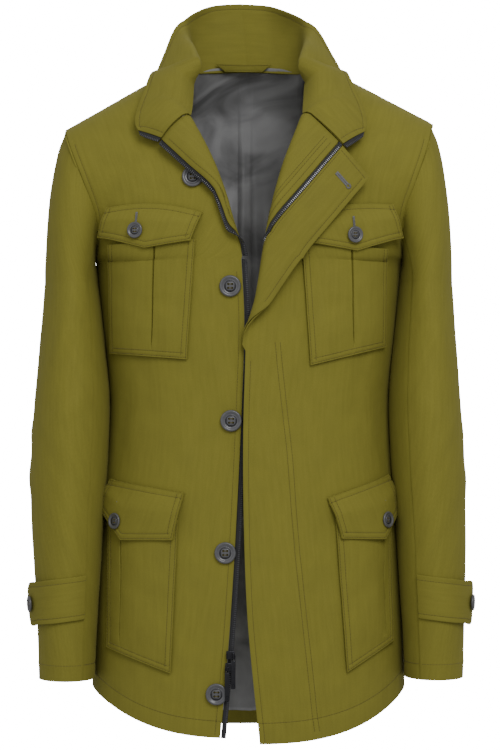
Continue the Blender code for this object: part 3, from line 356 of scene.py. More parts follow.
# ---- the body form ---------------------------------------------------------------------------
class BodyForm:
    """The filled-out form that every body panel lies on."""

    def __init__(self) -> None:
        """Read the tables once."""
        self.half = Curve(BODY, "z", "half_width")
        self.deep = {face: Curve(BODY, "z", face.value) for face in Face}
        self.armhole = {face: Curve(ARMHOLE, "share", face.value) for face in Face}

    def hem(self, side: Side, face: Face) -> float:
        """Height of the hem at the centre line."""
        return FRONT_HEM_Z[side] if face is Face.FRONT else BACK_HEM_Z

    def point(self, side: Side, face: Face, level: float, x: float) -> Vector:
        """A point of the form's outer face.

        Args:
            side: the wearer's side.
            face: front or back.
            level: 0 at the hem, 1 at the armpit, 2 at the shoulder seam.
            x: distance from the centre line towards the side.

        Returns:
            The point in the frame.
        """
        sign = side.value
        front = face is Face.FRONT
        if level <= 1.0:
            z_mid = mix(self.hem(side, face), ARMPIT_Z, level)
            z_edge = mix(SIDE_HEM_Z, ARMPIT_Z, level)
            reach = self.half(z_mid)
            y_mid, y_edge, turn = self.deep[face](z_mid), 0.0, 90.0
            bend = abs(x / reach) ** 3
        else:
            share = min(level - 1.0, 1.0)
            z_mid = mix(ARMPIT_Z, NECK_TOP_Z, share)
            z_edge = mix(ARMPIT_Z, TIP_Z + sign * TIP_SKEW, share)
            reach = self.armhole[face](share)
            power = ROUND_FRONT if front else ROUND_BACK
            y_mid = (CHEST_FRONT if front else CHEST_BACK) * max(0.0, 1.0 - share ** power) ** (1.0 / power)
            y_edge = (ARM_FRONT if front else ARM_BACK) * 2.0 * math.sqrt(max(0.0, share * (1.0 - share)))
            turn = 90.0 - (90.0 - TURN_SHOULDER) * ease(share / 0.45)
            soft = 0.12
            bend = (math.hypot(x / reach, soft) - soft) / (math.hypot(1.0, soft) - soft)
        end = math.sin(math.radians(turn))
        at = min(1.0, abs(x / reach) * end)
        depth = max(0.0, 1.0 - at ** SQUARE) ** (1.0 / SQUARE)
        depth_end = max(0.0, 1.0 - end ** SQUARE) ** (1.0 / SQUARE)
        y = y_mid - (y_mid - y_edge) * (1.0 - depth) / (1.0 - depth_end)
        if front and side is Side.LEFT:
            y += WRAP * ease((WRAP_REACH - x) / WRAP_REACH) * ease((2.0 - level) / 0.8)
        return Vector((sign * x, -y if front else y, mix(z_mid, z_edge, bend)))

    def reach(self, side: Side, face: Face, level: float) -> float:
        """Half width of a row: the side seam, or the armhole above the armpit."""
        if level > 1.0:
            return self.armhole[face](min(level - 1.0, 1.0))
        return self.half(mix(self.hem(side, face), ARMPIT_Z, level))

    def level(self, side: Side, face: Face, x: float, z: float) -> float:
        """The row that passes through a given height at a given x."""
        low, high = 0.0, 2.0
        for _ in range(24):
            middle = 0.5 * (low + high)
            if self.point(side, face, middle, x).z < z:
                low = middle
            else:
                high = middle
        return 0.5 * (low + high)

    def seat(self, side: Side, face: Face, x: float, z: float) -> tuple[Vector, Vector, Vector]:
        """Point, outward normal and upward direction of the form at x and z."""
        level = self.level(side, face, x, z)
        low, high = max(0.0, level - 0.004), min(2.0, level + 0.004)
        up = self.point(side, face, high, x) - self.point(side, face, low, x)
        near = min(x + 0.001, self.reach(side, face, level) * 0.9995)
        across = self.point(side, face, level, near) - self.point(side, face, level, x - 0.001)
        normal = up.cross(across).normalized()
        if normal.y * (-1.0 if face is Face.FRONT else 1.0) < 0.0:
            normal.negate()
        up = (up - normal * up.dot(normal)).normalized()
        return self.point(side, face, level, x), normal, up

    def off(self, side: Side, x: float, z: float, lift: float) -> Vector:
        """A point held off the front by a lift."""
        point, normal, _ = self.seat(side, Face.FRONT, x, z)
        return point + normal * lift


def spaced(level: float, inner: float, reach: float, shares: Sequence[float]) -> list[float]:
    """Distances across one row from its outer end to an inner x, even along the curved cloth."""
    start = math.radians(89.4 - 18.0 * ease((level - 1.0) / 0.5))
    end = math.asin(inner / reach * math.sin(start))
    edge = reach - 0.5 * GAP
    return [edge * math.sin(mix(start, end, share)) / math.sin(start) for share in shares]


# ---- cloth -----------------------------------------------------------------------------------
class Mark(NamedTuple):
    """A soft trough in cloth, or a ridge where its depth is below nought, along a path."""
    path: np.ndarray
    depth: float
    width: float
    fades: bool


@dataclass
class Cloth:
    """A grid of outer points of one cut piece, with its pressed-in marks."""
    points: np.ndarray
    outward: Vector
    flat_points: Optional[np.ndarray] = None

    def __post_init__(self) -> None:
        """Keep the undisturbed form, which the cut is measured on."""
        self.flat_points = self.points.copy()

    def normals(self) -> np.ndarray:
        """Unit normals of the grid, on the outer side."""
        p = self.points
        up = np.gradient(p, axis=0)
        across = np.gradient(p, axis=1)
        found = np.cross(up, across)
        length = np.linalg.norm(found, axis=2)
        flat = length < 1e-12
        for k in range(1, p.shape[1]):
            rows = flat[:, k]
            found[rows, k] = found[rows, k - 1]
            length[rows, k] = length[rows, k - 1]
        found /= np.maximum(length, 1e-15)[..., None]
        if float((found[:, 0].sum(axis=0) * np.array(self.outward)).sum()) < 0.0:
            found = -found
        return found

    def cut(self) -> tuple[float, float, float]:
        """Width, length and area of the cut before anything was pressed into it.

        The area is held to width times length.
        """
        p = self.flat_points
        wide = np.percentile(np.linalg.norm(np.diff(p, axis=1), axis=2).sum(axis=1), 88.0)
        long = np.linalg.norm(np.diff(p, axis=0), axis=2).sum(axis=0).max()
        a = p[1:, 1:] - p[:-1, :-1]
        b = p[1:, :-1] - p[:-1, 1:]
        area = float(np.linalg.norm(np.cross(a, b), axis=2).sum()) * 0.5
        return float(wide), float(long), min(area, float(wide * long))

    def press(self, marks: Sequence[Mark]) -> None:
        """Push troughs and ridges into the cloth."""
        normals = self.normals()
        flat = self.points.reshape(-1, 3)
        total = np.zeros(len(flat))
        for mark in marks:
            reach = 3.0 * mark.width
            lowest, highest = mark.path.min(axis=0) - reach, mark.path.max(axis=0) + reach
            near = np.all((flat > lowest) & (flat < highest), axis=1)
            index = np.nonzero(near)[0]
            for part in np.array_split(index, max(1, len(index) // 1500)):
                if not len(part):
                    continue
                gaps = ((flat[part][:, None, :] - mark.path[None, :, :]) ** 2).sum(axis=2)
                spot = gaps.argmin(axis=1)
                fall = np.exp(-gaps[np.arange(len(part)), spot] / mark.width ** 2)
                if mark.fades:
                    fall *= np.sin(np.pi * (spot + 0.5) / len(mark.path)) ** 0.8
                total[part] += mark.depth * fall
        self.points = self.points - normals * total.reshape(self.points.shape[:2])[..., None]

    def soften(self, amount: float, scale: float, seed: float) -> None:
        """Give the cloth the slight unevenness of a worn garment."""
        normals = self.normals()
        rows, columns = self.points.shape[:2]
        shift = Vector((seed, 3.1 * seed, 1.7 * seed))
        values = np.zeros((rows, columns))
        for j in range(rows):
            for k in range(columns):
                at = Vector(self.points[j, k])
                broad = noise.noise(at / scale + shift)
                values[j, k] = broad + 0.35 * noise.noise(at * (2.6 / scale) - shift)
        self.points = self.points + normals * (values * amount)[..., None]

    def layer(self, depth: float) -> "Cloth":
        """The same grid moved in by a depth."""
        return Cloth(self.points - self.normals() * depth, self.outward)

    def along_row(self, distance: float, from_end: bool, rows: slice) -> list[Vector]:
        """A path at a distance from the grid's first or last column, on a span of rows."""
        path = []
        for line in self.points[rows]:
            ordered = line[::-1] if from_end else line
            path.append(Vector(walk(ordered, distance)))
        return path

    def along_column(self, distance: float, from_end: bool, columns: slice) -> list[Vector]:
        """A path at a distance from the grid's first or last row, on a span of columns."""
        path = []
        for k in range(*columns.indices(self.points.shape[1])):
            line = self.points[:, k]
            path.append(Vector(walk(line[::-1] if from_end else line, distance)))
        return path


def walk(line: np.ndarray, distance: float) -> np.ndarray:
    """The point at a distance along a line of points."""
    steps = np.linalg.norm(np.diff(line, axis=0), axis=1)
    run = np.concatenate([[0.0], np.cumsum(steps)])
    return np.array([np.interp(distance, run, line[:, axis]) for axis in range(3)])


def even_path(path: Sequence[Vector], step: float) -> list[Vector]:
    """The same path with points a step apart."""
    line = np.array([tuple(point) for point in path])
    steps = np.linalg.norm(np.diff(line, axis=0), axis=1)
    run = np.concatenate([[0.0], np.cumsum(steps)])
    count = max(2, int(run[-1] / step) + 1)
    at = np.linspace(0.0, run[-1], count)
    columns = [np.interp(at, run, line[:, axis]) for axis in range(3)]
    return [Vector(point) for point in zip(*columns)]


def mark(path: Sequence[Vector], depth: float, width: float, fades: bool = False) -> Mark:
    """A mark along a path, with points close enough for its width."""
    return Mark(np.array([tuple(p) for p in even_path(path, max(0.0008, 0.5 * width))]), depth, width, fades)


def cells(rows: int, columns: int) -> bmesh.types.BMesh:
    """A flat grid with so many rows and columns of points."""
    bm = bmesh.new()
    bmesh.ops.create_grid(bm, x_segments=columns - 1, y_segments=rows - 1, size=1.0)
    return bm


@dataclass
class Wall:
    """How a grid of cloth becomes a piece."""
    name: str
    nodes: tuple[str, ...]
    slot: str
    thickness: float
    material: bpy.types.Material
    round_edge: float = 0.0
    drop: Optional[Callable[[int, int], bool]] = None
    body: str = "jacket"
    rests_on: tuple[str, ...] = ()

    def make(self, cloth: Cloth) -> bpy.types.Object:
        """Args:
            cloth: the grid of outer points.

        Returns:
            The finished piece.
        """
        rows, columns = cloth.points.shape[:2]
        bm = cells(rows, columns)
        bm.verts.ensure_lookup_table()
        bm.faces.ensure_lookup_table()
        grain = bm.loops.layers.uv.new("cloth")
        wear = bm.verts.layers.float.new("wear")
        flat = cloth.flat_points
        across = np.concatenate([np.zeros((rows, 1)), np.cumsum(np.linalg.norm(
            np.diff(flat, axis=1), axis=2), axis=1)], axis=1)
        along = np.concatenate([np.zeros((1, columns)), np.cumsum(np.linalg.norm(
            np.diff(flat, axis=0), axis=2), axis=0)], axis=0)
        edge = np.minimum(np.minimum(across, across[:, -1:] - across), np.minimum(along, along[-1:] - along))
        for j in range(rows):
            for k in range(columns):
                vert = bm.verts[j * columns + k]
                vert.co = cloth.points[j, k]
                # closeness to the piece's edge, 1 at the edge; it makes the twill's colour a little darker
                # there
                vert[wear] = float(math.exp(-edge[j, k] / 0.006))
        for face in bm.faces:
            for loop in face.loops:
                j, k = divmod(loop.vert.index, columns)
                loop[grain].uv = (across[j, k], along[j, k])
        if self.drop:
            gone = [face for index, face in enumerate(bm.faces)
                    if self.drop(index // (columns - 1), index % (columns - 1))]
            bmesh.ops.delete(bm, geom=gone, context="FACES")
        bmesh.ops.remove_doubles(bm, verts=bm.verts[:], dist=3e-5)
        bmesh.ops.dissolve_degenerate(bm, dist=1e-5, edges=bm.edges[:])
        face_out(bm, cloth.outward)
        mesh = mesh_of(bm, self.name)
        piece = place(f"{self.name}_cloth", mesh, self.material)
        wall = piece.modifiers.new("wall", "SOLIDIFY")
        wall.thickness = self.thickness
        wall.offset = -1.0
        wall.use_even_offset = False
        if self.round_edge > 0.0:
            soft = piece.modifiers.new("pressed_edge", "BEVEL")
            soft.width = self.round_edge
            soft.segments = 2
            soft.limit_method = "ANGLE"
            soft.angle_limit = math.radians(55.0)
            soft.harden_normals = False
        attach(piece, self.body)
        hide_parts(*self.nodes)
        wide, long, area = cloth.cut()
        LOG.info("%s: cut %.3f x %.3f m, %.4f m2", self.name, wide, long, area)
        return piece


def mesh_of(bm: bmesh.types.BMesh, name: str) -> bpy.types.Mesh:
    """Turn a finished bmesh into a mesh and free it."""
    mesh = bpy.data.meshes.new(name)
    bm.to_mesh(mesh)
    bm.free()
    return mesh


def face_out(bm: bmesh.types.BMesh, outward: Vector) -> None:
    """Make the faces agree, and turn them to the outer side."""
    bmesh.ops.recalc_face_normals(bm, faces=bm.faces[:])
    total = sum((face.normal * face.calc_area() for face in bm.faces), Vector())
    if total.dot(outward) < 0.0:
        bmesh.ops.reverse_faces(bm, faces=bm.faces[:])


def place(name: str, mesh: bpy.types.Mesh, material: bpy.types.Material,
          smooth: bool = True) -> bpy.types.Object:
    """Put a mesh in the scene as one named piece."""
    piece = bpy.data.objects.new(name, mesh)
    bpy.context.scene.collection.objects.link(piece)
    mesh.materials.append(material)
    if smooth:
        mesh.shade_smooth()
    return piece


# ---- finishes --------------------------------------------------------------------------------
@dataclass(frozen=True)
class Socket:
    """A shader socket that maths can be written with."""
    graph: "Graph"
    link: bpy.types.NodeSocket

    def _maths(self, operation: str, other, swap: bool = False) -> "Socket":
        """Add one Math node for an operation with a number or another socket."""
        values = (other, self) if swap else (self, other)
        return self.graph.add("ShaderNodeMath", {"operation": operation}, {0: values[0], 1: values[1]})

    def __add__(self, other) -> "Socket":
        """Sum."""
        return self._maths("ADD", other)

    __radd__ = __add__

    def __sub__(self, other) -> "Socket":
        """Difference."""
        return self._maths("SUBTRACT", other)

    def __rsub__(self, other) -> "Socket":
        """Difference from a number."""
        return self._maths("SUBTRACT", other, swap=True)

    def __mul__(self, other) -> "Socket":
        """Product."""
        return self._maths("MULTIPLY", other)

    __rmul__ = __mul__


class Graph:
    """A material's node graph."""

    def __init__(self, name: str) -> None:
        """Start an empty material with an output."""
        self.material = bpy.data.materials.new(name)
        self.material.use_nodes = True
        self.nodes = self.material.node_tree.nodes
        self.nodes.clear()
        self.output = self.nodes.new("ShaderNodeOutputMaterial")

    def add(self, kind: str, settings: Optional[dict] = None, inputs: Optional[dict] = None,
            output: int | str = 0) -> Socket:
        """Add a node.

        Args:
            kind: the node's type.
            settings: attributes to set first.
            inputs: values or sockets by input name or number.
            output: which output to return.

        Returns:
            The chosen output.
        """
        node = self.nodes.new(kind)
        for key, value in (settings or {}).items():
            setattr(node, key, value)
        for key, value in (inputs or {}).items():
            if isinstance(value, Socket):
                self.material.node_tree.links.new(value.link, node.inputs[key])
            else:
                node.inputs[key].default_value = value
        return Socket(self, node.outputs[output])

    def finish(self, shader: Socket) -> bpy.types.Material:
        """Join the shader to the output."""
        self.material.node_tree.links.new(shader.link, self.output.inputs["Surface"])
        return self.material

    def blend(self, share, first, second) -> Socket:
        """Mix two colours by a share."""
        return self.add("ShaderNodeMix", {"data_type": "RGBA", "clamp_factor": True},
                        {0: share, 6: first, 7: second}, output=2)


@dataclass(frozen=True)
class Twill:
    """Fine cotton twill: diagonal ribs, slubs and a colour a little darker towards each piece's edges."""
    name: str
    colour: tuple[float, float, float]
    rib: float = 0.0011
    strength: float = 0.35
    sheen: float = 0.10

    def make(self) -> bpy.types.Material:
        """Build the finish."""
        g = Graph(self.name)
        uv = g.add("ShaderNodeUVMap", {"uv_map": "cloth"})
        turned = g.add("ShaderNodeMapping", {}, {0: uv, "Rotation": (0.0, 0.0, math.radians(63.0))})
        ribs = g.add("ShaderNodeTexWave", {"wave_type": "BANDS", "bands_direction": "X"},
                     {"Vector": turned, "Scale": 0.314 / self.rib, "Distortion": 0.6, "Detail": 1.0},
                     output=1)
        slub = g.add("ShaderNodeTexNoise", {}, {"Vector": uv, "Scale": 900.0, "Detail": 3.0})
        cloud = g.add("ShaderNodeTexNoise", {},
                      {"Vector": uv, "Scale": 26.0, "Detail": 4.0, "Roughness": 0.6})
        streak = g.add("ShaderNodeMapping", {}, {0: uv, "Scale": (240.0, 22.0, 1.0)})
        threads = g.add("ShaderNodeTexNoise", {}, {"Vector": streak, "Scale": 1.0, "Detail": 2.0})
        wear = g.add("ShaderNodeAttribute", {"attribute_name": "wear"}, {}, output="Fac")
        r, gr, b = self.colour
        deep = (r * 0.86, gr * 0.86, b * 0.80, 1.0)
        pale = (r * 1.14, gr * 1.14, b * 1.22, 1.0)
        tone = slub * 0.45 + cloud * 0.30 + threads * 0.25
        spread_out = g.add("ShaderNodeMapRange", {}, {0: tone, 1: 0.34, 2: 0.66, 3: 0.0, 4: 1.0})
        base = g.blend(spread_out, deep, pale)
        # colour made a little darker towards each piece's edges
        edge = g.blend(wear * 0.22, base, (r * 0.78, gr * 0.78, b * 0.72, 1.0))
        rough = g.add("ShaderNodeMapRange", {}, {0: cloud, 1: 0.3, 2: 0.7, 3: 0.78, 4: 0.92})
        height = ribs * 0.6 + slub * 0.4
        bump = g.add("ShaderNodeBump", {}, {"Strength": self.strength, "Distance": 0.00022, "Height": height})
        return g.finish(g.add("ShaderNodeBsdfPrincipled", {}, {
            "Base Color": edge, "Roughness": rough, "Normal": bump, "Specular IOR Level": 0.25,
            "Sheen Weight": self.sheen, "Sheen Roughness": 0.5, "Sheen Tint": (0.62, 0.56, 0.22, 1.0)}))


@dataclass(frozen=True)
class Satin:
    """Grey satin lining: smooth floats with a soft, uneven gloss, and mottled highlights painted into its
    colour.
    """
    name: str
    colour: tuple[float, float, float]

    def make(self) -> bpy.types.Material:
        """Build the finish."""
        g = Graph(self.name)
        uv = g.add("ShaderNodeUVMap", {"uv_map": "cloth"})
        stretched = g.add("ShaderNodeMapping", {}, {0: uv, "Scale": (900.0, 150.0, 1.0)})
        floats = g.add("ShaderNodeTexNoise", {}, {"Vector": stretched, "Scale": 1.0, "Detail": 2.0})
        cloud = g.add("ShaderNodeTexNoise", {},
                      {"Vector": uv, "Scale": 17.0, "Detail": 3.0, "Distortion": 0.6})
        r, gr, b = self.colour
        # painted highlights: broad patches that lighten and darken the satin's base colour
        patch = g.add("ShaderNodeMapRange", {}, {0: cloud, 1: 0.35, 2: 0.65, 3: 0.0, 4: 1.0})
        base = g.blend(patch, (r * 0.66, gr * 0.66, b * 0.66, 1.0), (r * 1.45, gr * 1.45, b * 1.45, 1.0))
        rough = g.add("ShaderNodeMapRange", {}, {0: cloud, 1: 0.3, 2: 0.7, 3: 0.34, 4: 0.46})
        bump = g.add("ShaderNodeBump", {}, {"Strength": 0.25, "Distance": 0.0001, "Height": floats})
        return g.finish(g.add("ShaderNodeBsdfPrincipled", {}, {
            "Base Color": base, "Roughness": rough, "Normal": bump, "Specular IOR Level": 0.6,
            "Sheen Weight": 0.15, "Sheen Roughness": 0.3}))


@dataclass(frozen=True)
class Hard:
    """A smooth hard finish with slight marbling and handling marks."""
    name: str
    colour: tuple[float, float, float]
    roughness: float
    metallic: float = 0.0
    marble: float = 0.25
    scale: float = 180.0
    coat: float = 0.0

    def make(self) -> bpy.types.Material:
        """Build the finish."""
        g = Graph(self.name)
        at = g.add("ShaderNodeTexCoord", {}, {}, output="Object")
        veins = g.add("ShaderNodeTexNoise", {},
                      {"Vector": at, "Scale": self.scale, "Detail": 4.0, "Distortion": 1.2})
        marks = g.add("ShaderNodeTexNoise", {}, {"Vector": at, "Scale": 900.0, "Detail": 2.0})
        r, gr, b = self.colour
        low, high = 1.0 - self.marble, 1.0 + self.marble
        base = g.blend(veins, (r * low, gr * low, b * low, 1.0), (r * high, gr * high, b * high, 1.0))
        rough = g.add("ShaderNodeMapRange", {}, {0: marks, 1: 0.3, 2: 0.7, 3: self.roughness * 0.8,
                                                 4: self.roughness * 1.2})
        bump = g.add("ShaderNodeBump", {}, {"Strength": 0.12, "Distance": 0.0001, "Height": marks})
        return g.finish(g.add("ShaderNodeBsdfPrincipled", {}, {
            "Base Color": base, "Roughness": rough, "Normal": bump, "Metallic": self.metallic,
            "Coat Weight": self.coat, "Coat Roughness": 0.15}))


@dataclass(frozen=True)
class Woven:
    """Coarse woven tape or twisted thread, read along the object."""
    name: str
    colour: tuple[float, float, float]
    scale: float = 1400.0

    def make(self) -> bpy.types.Material:
        """Build the finish."""
        g = Graph(self.name)
        at = g.add("ShaderNodeTexCoord", {}, {}, output="Object")
        twist = g.add("ShaderNodeTexNoise", {}, {"Vector": at, "Scale": self.scale, "Detail": 2.0})
        r, gr, b = self.colour
        base = g.blend(twist, (r * 0.7, gr * 0.7, b * 0.7, 1.0), (r * 1.3, gr * 1.3, b * 1.3, 1.0))
        bump = g.add("ShaderNodeBump", {}, {"Strength": 0.4, "Distance": 0.0002, "Height": twist})
        return g.finish(g.add("ShaderNodeBsdfPrincipled", {}, {
            "Base Color": base, "Roughness": 0.8, "Normal": bump, "Sheen Weight": 0.1}))


OLIVE = (0.232, 0.212, 0.030)
# the same olive twill made a little darker as painted shade, for the pieces on the inside
OLIVE_SHADED = (0.218, 0.199, 0.029)
THREAD = (0.120, 0.096, 0.016)
SATIN_GREY = (0.24, 0.24, 0.245)
HORN_GREY = (0.105, 0.105, 0.112)
BLACK_METAL = (0.05, 0.05, 0.055)
GUN_METAL = (0.16, 0.16, 0.17)
TAPE_BLACK = (0.022, 0.022, 0.024)
PALE_THREAD = (0.20, 0.20, 0.21)


@dataclass
class Finishes:
    """Every finish of the jacket."""
    olive: bpy.types.Material = field(default_factory=lambda: Twill("olive_twill", OLIVE).make())
    # painted shade: a darker copy of the olive twill for the inner pieces
    inner: bpy.types.Material = field(default_factory=lambda: Twill("olive_twill_shaded", OLIVE_SHADED).make())
    satin: bpy.types.Material = field(default_factory=lambda: Satin("grey_satin", SATIN_GREY).make())
    horn: bpy.types.Material = field(
        default_factory=lambda: Hard("grey_horn", HORN_GREY, 0.32, coat=0.3).make())
    metal: bpy.types.Material = field(
        default_factory=lambda: Hard("black_metal", BLACK_METAL, 0.26, metallic=1.0, marble=0.15).make())
    teeth: bpy.types.Material = field(
        default_factory=lambda: Hard("gun_metal", GUN_METAL, 0.30, metallic=1.0, marble=0.3).make())
    tape: bpy.types.Material = field(default_factory=lambda: Woven("black_tape", TAPE_BLACK).make())
    thread: bpy.types.Material = field(default_factory=lambda: Woven("olive_thread", THREAD).make())
    pale_thread: bpy.types.Material = field(
        default_factory=lambda: Woven("grey_thread", PALE_THREAD).make())


# ---- stitches --------------------------------------------------------------------------------
class Stitches:
    """Sewn lines, gathered into one mesh for each piece of trim."""
    LENGTH = 0.0026
    PITCH = 0.0034
    RADIUS = 0.00027

    def __init__(self, name: str, material: bpy.types.Material) -> None:
        """Start an empty run of stitches."""
        self.name = name
        self.material = material
        self.bm = bmesh.new()

    def stitch(self, start: Vector, end: Vector, radius: float) -> None:
        """Add one short rod of thread between two points."""
        ahead = end - start
        turned = ahead.to_track_quat("Z", "Y").to_matrix().to_4x4()
        bmesh.ops.create_cone(self.bm, cap_ends=True, segments=5, radius1=radius, radius2=radius,
                              depth=ahead.length, matrix=Matrix.Translation((start + end) * 0.5) @ turned)

    def line(self, path: Sequence[Vector], lift: Callable[[Vector], Vector]) -> None:
        """Sew along a path.

        Args:
            path: points on the cloth's outer face.
            lift: gives the shift from the face to the thread's middle at a point.
        """
        points = even_path(path, self.PITCH)
        share = self.LENGTH / self.PITCH
        for start, end in zip(points, points[1:]):
            first, last = mix(start, end, 0.5 - 0.5 * share), mix(start, end, 0.5 + 0.5 * share)
            self.stitch(first + lift(first), last + lift(last), self.RADIUS)

    def make(self, slot: str, body: str = "jacket") -> Optional[bpy.types.Object]:
        """Finish the run as one piece."""
        if not self.bm.verts:
            self.bm.free()
            return None
        bmesh.ops.recalc_face_normals(self.bm, faces=self.bm.faces[:])
        mesh = bpy.data.meshes.new(self.name)
        self.bm.to_mesh(mesh)
        self.bm.free()
        piece = place(self.name, mesh, self.material)
        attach(piece, body)
        return piece


# ---- fronts ----------------------------------------------------------------------------------
class Fold(NamedTuple):
    """A crease on a front or back: its ends (x, z), depth and half width."""
    start: tuple
    end: tuple
    bow: float
    depth: float
    width: float


FRONT_FOLDS = {
    Side.RIGHT: (
        Fold((0.150, -0.100), (0.178, -0.240), 0.010, 0.0022, 0.014),
        Fold((0.172, -0.215), (0.120, -0.440), -0.012, 0.0016, 0.016),
        Fold((0.060, -0.365), (0.048, -0.500), 0.006, 0.0014, 0.018),
        Fold((0.140, -0.380), (0.150, -0.490), 0.010, 0.0020, 0.015),
        Fold((0.085, -0.080), (0.125, -0.160), 0.008, 0.0012, 0.018),
        Fold((0.060, -0.600), (0.066, -0.790), 0.004, 0.0012, 0.015),
        Fold((0.176, -0.600), (0.170, -0.735), 0.003, -0.0016, 0.014),
    ),
    Side.LEFT: (
        Fold((0.155, -0.090), (0.180, -0.235), 0.010, 0.0022, 0.014),
        Fold((0.170, -0.215), (0.128, -0.450), -0.014, 0.0018, 0.016),
        Fold((0.020, -0.360), (0.060, -0.480), 0.004, 0.0014, 0.018),
        Fold((0.145, -0.380), (0.150, -0.480), 0.010, 0.0020, 0.015),
        Fold((0.095, -0.075), (0.130, -0.140), 0.008, 0.0012, 0.018),
        Fold((0.070, -0.580), (0.080, -0.780), 0.006, 0.0016, 0.018),
        Fold((0.030, -0.500), (0.034, -0.700), 0.004, -0.0010, 0.020),
    ),
}
BACK_FOLDS = (
    Fold((0.020, -0.060), (0.070, -0.190), 0.010, 0.0020, 0.016),
    Fold((0.165, -0.150), (0.150, -0.330), 0.010, 0.0024, 0.016),
    Fold((0.150, -0.370), (0.080, -0.430), 0.008, 0.0022, 0.013),
    Fold((0.135, -0.420), (0.060, -0.470), -0.006, 0.0018, 0.014),
    Fold((0.060, -0.480), (0.066, -0.700), 0.008, 0.0018, 0.020),
    Fold((0.130, -0.520), (0.142, -0.740), 0.006, -0.0018, 0.018),
    Fold((0.012, -0.300), (0.016, -0.460), 0.004, 0.0014, 0.016),
)


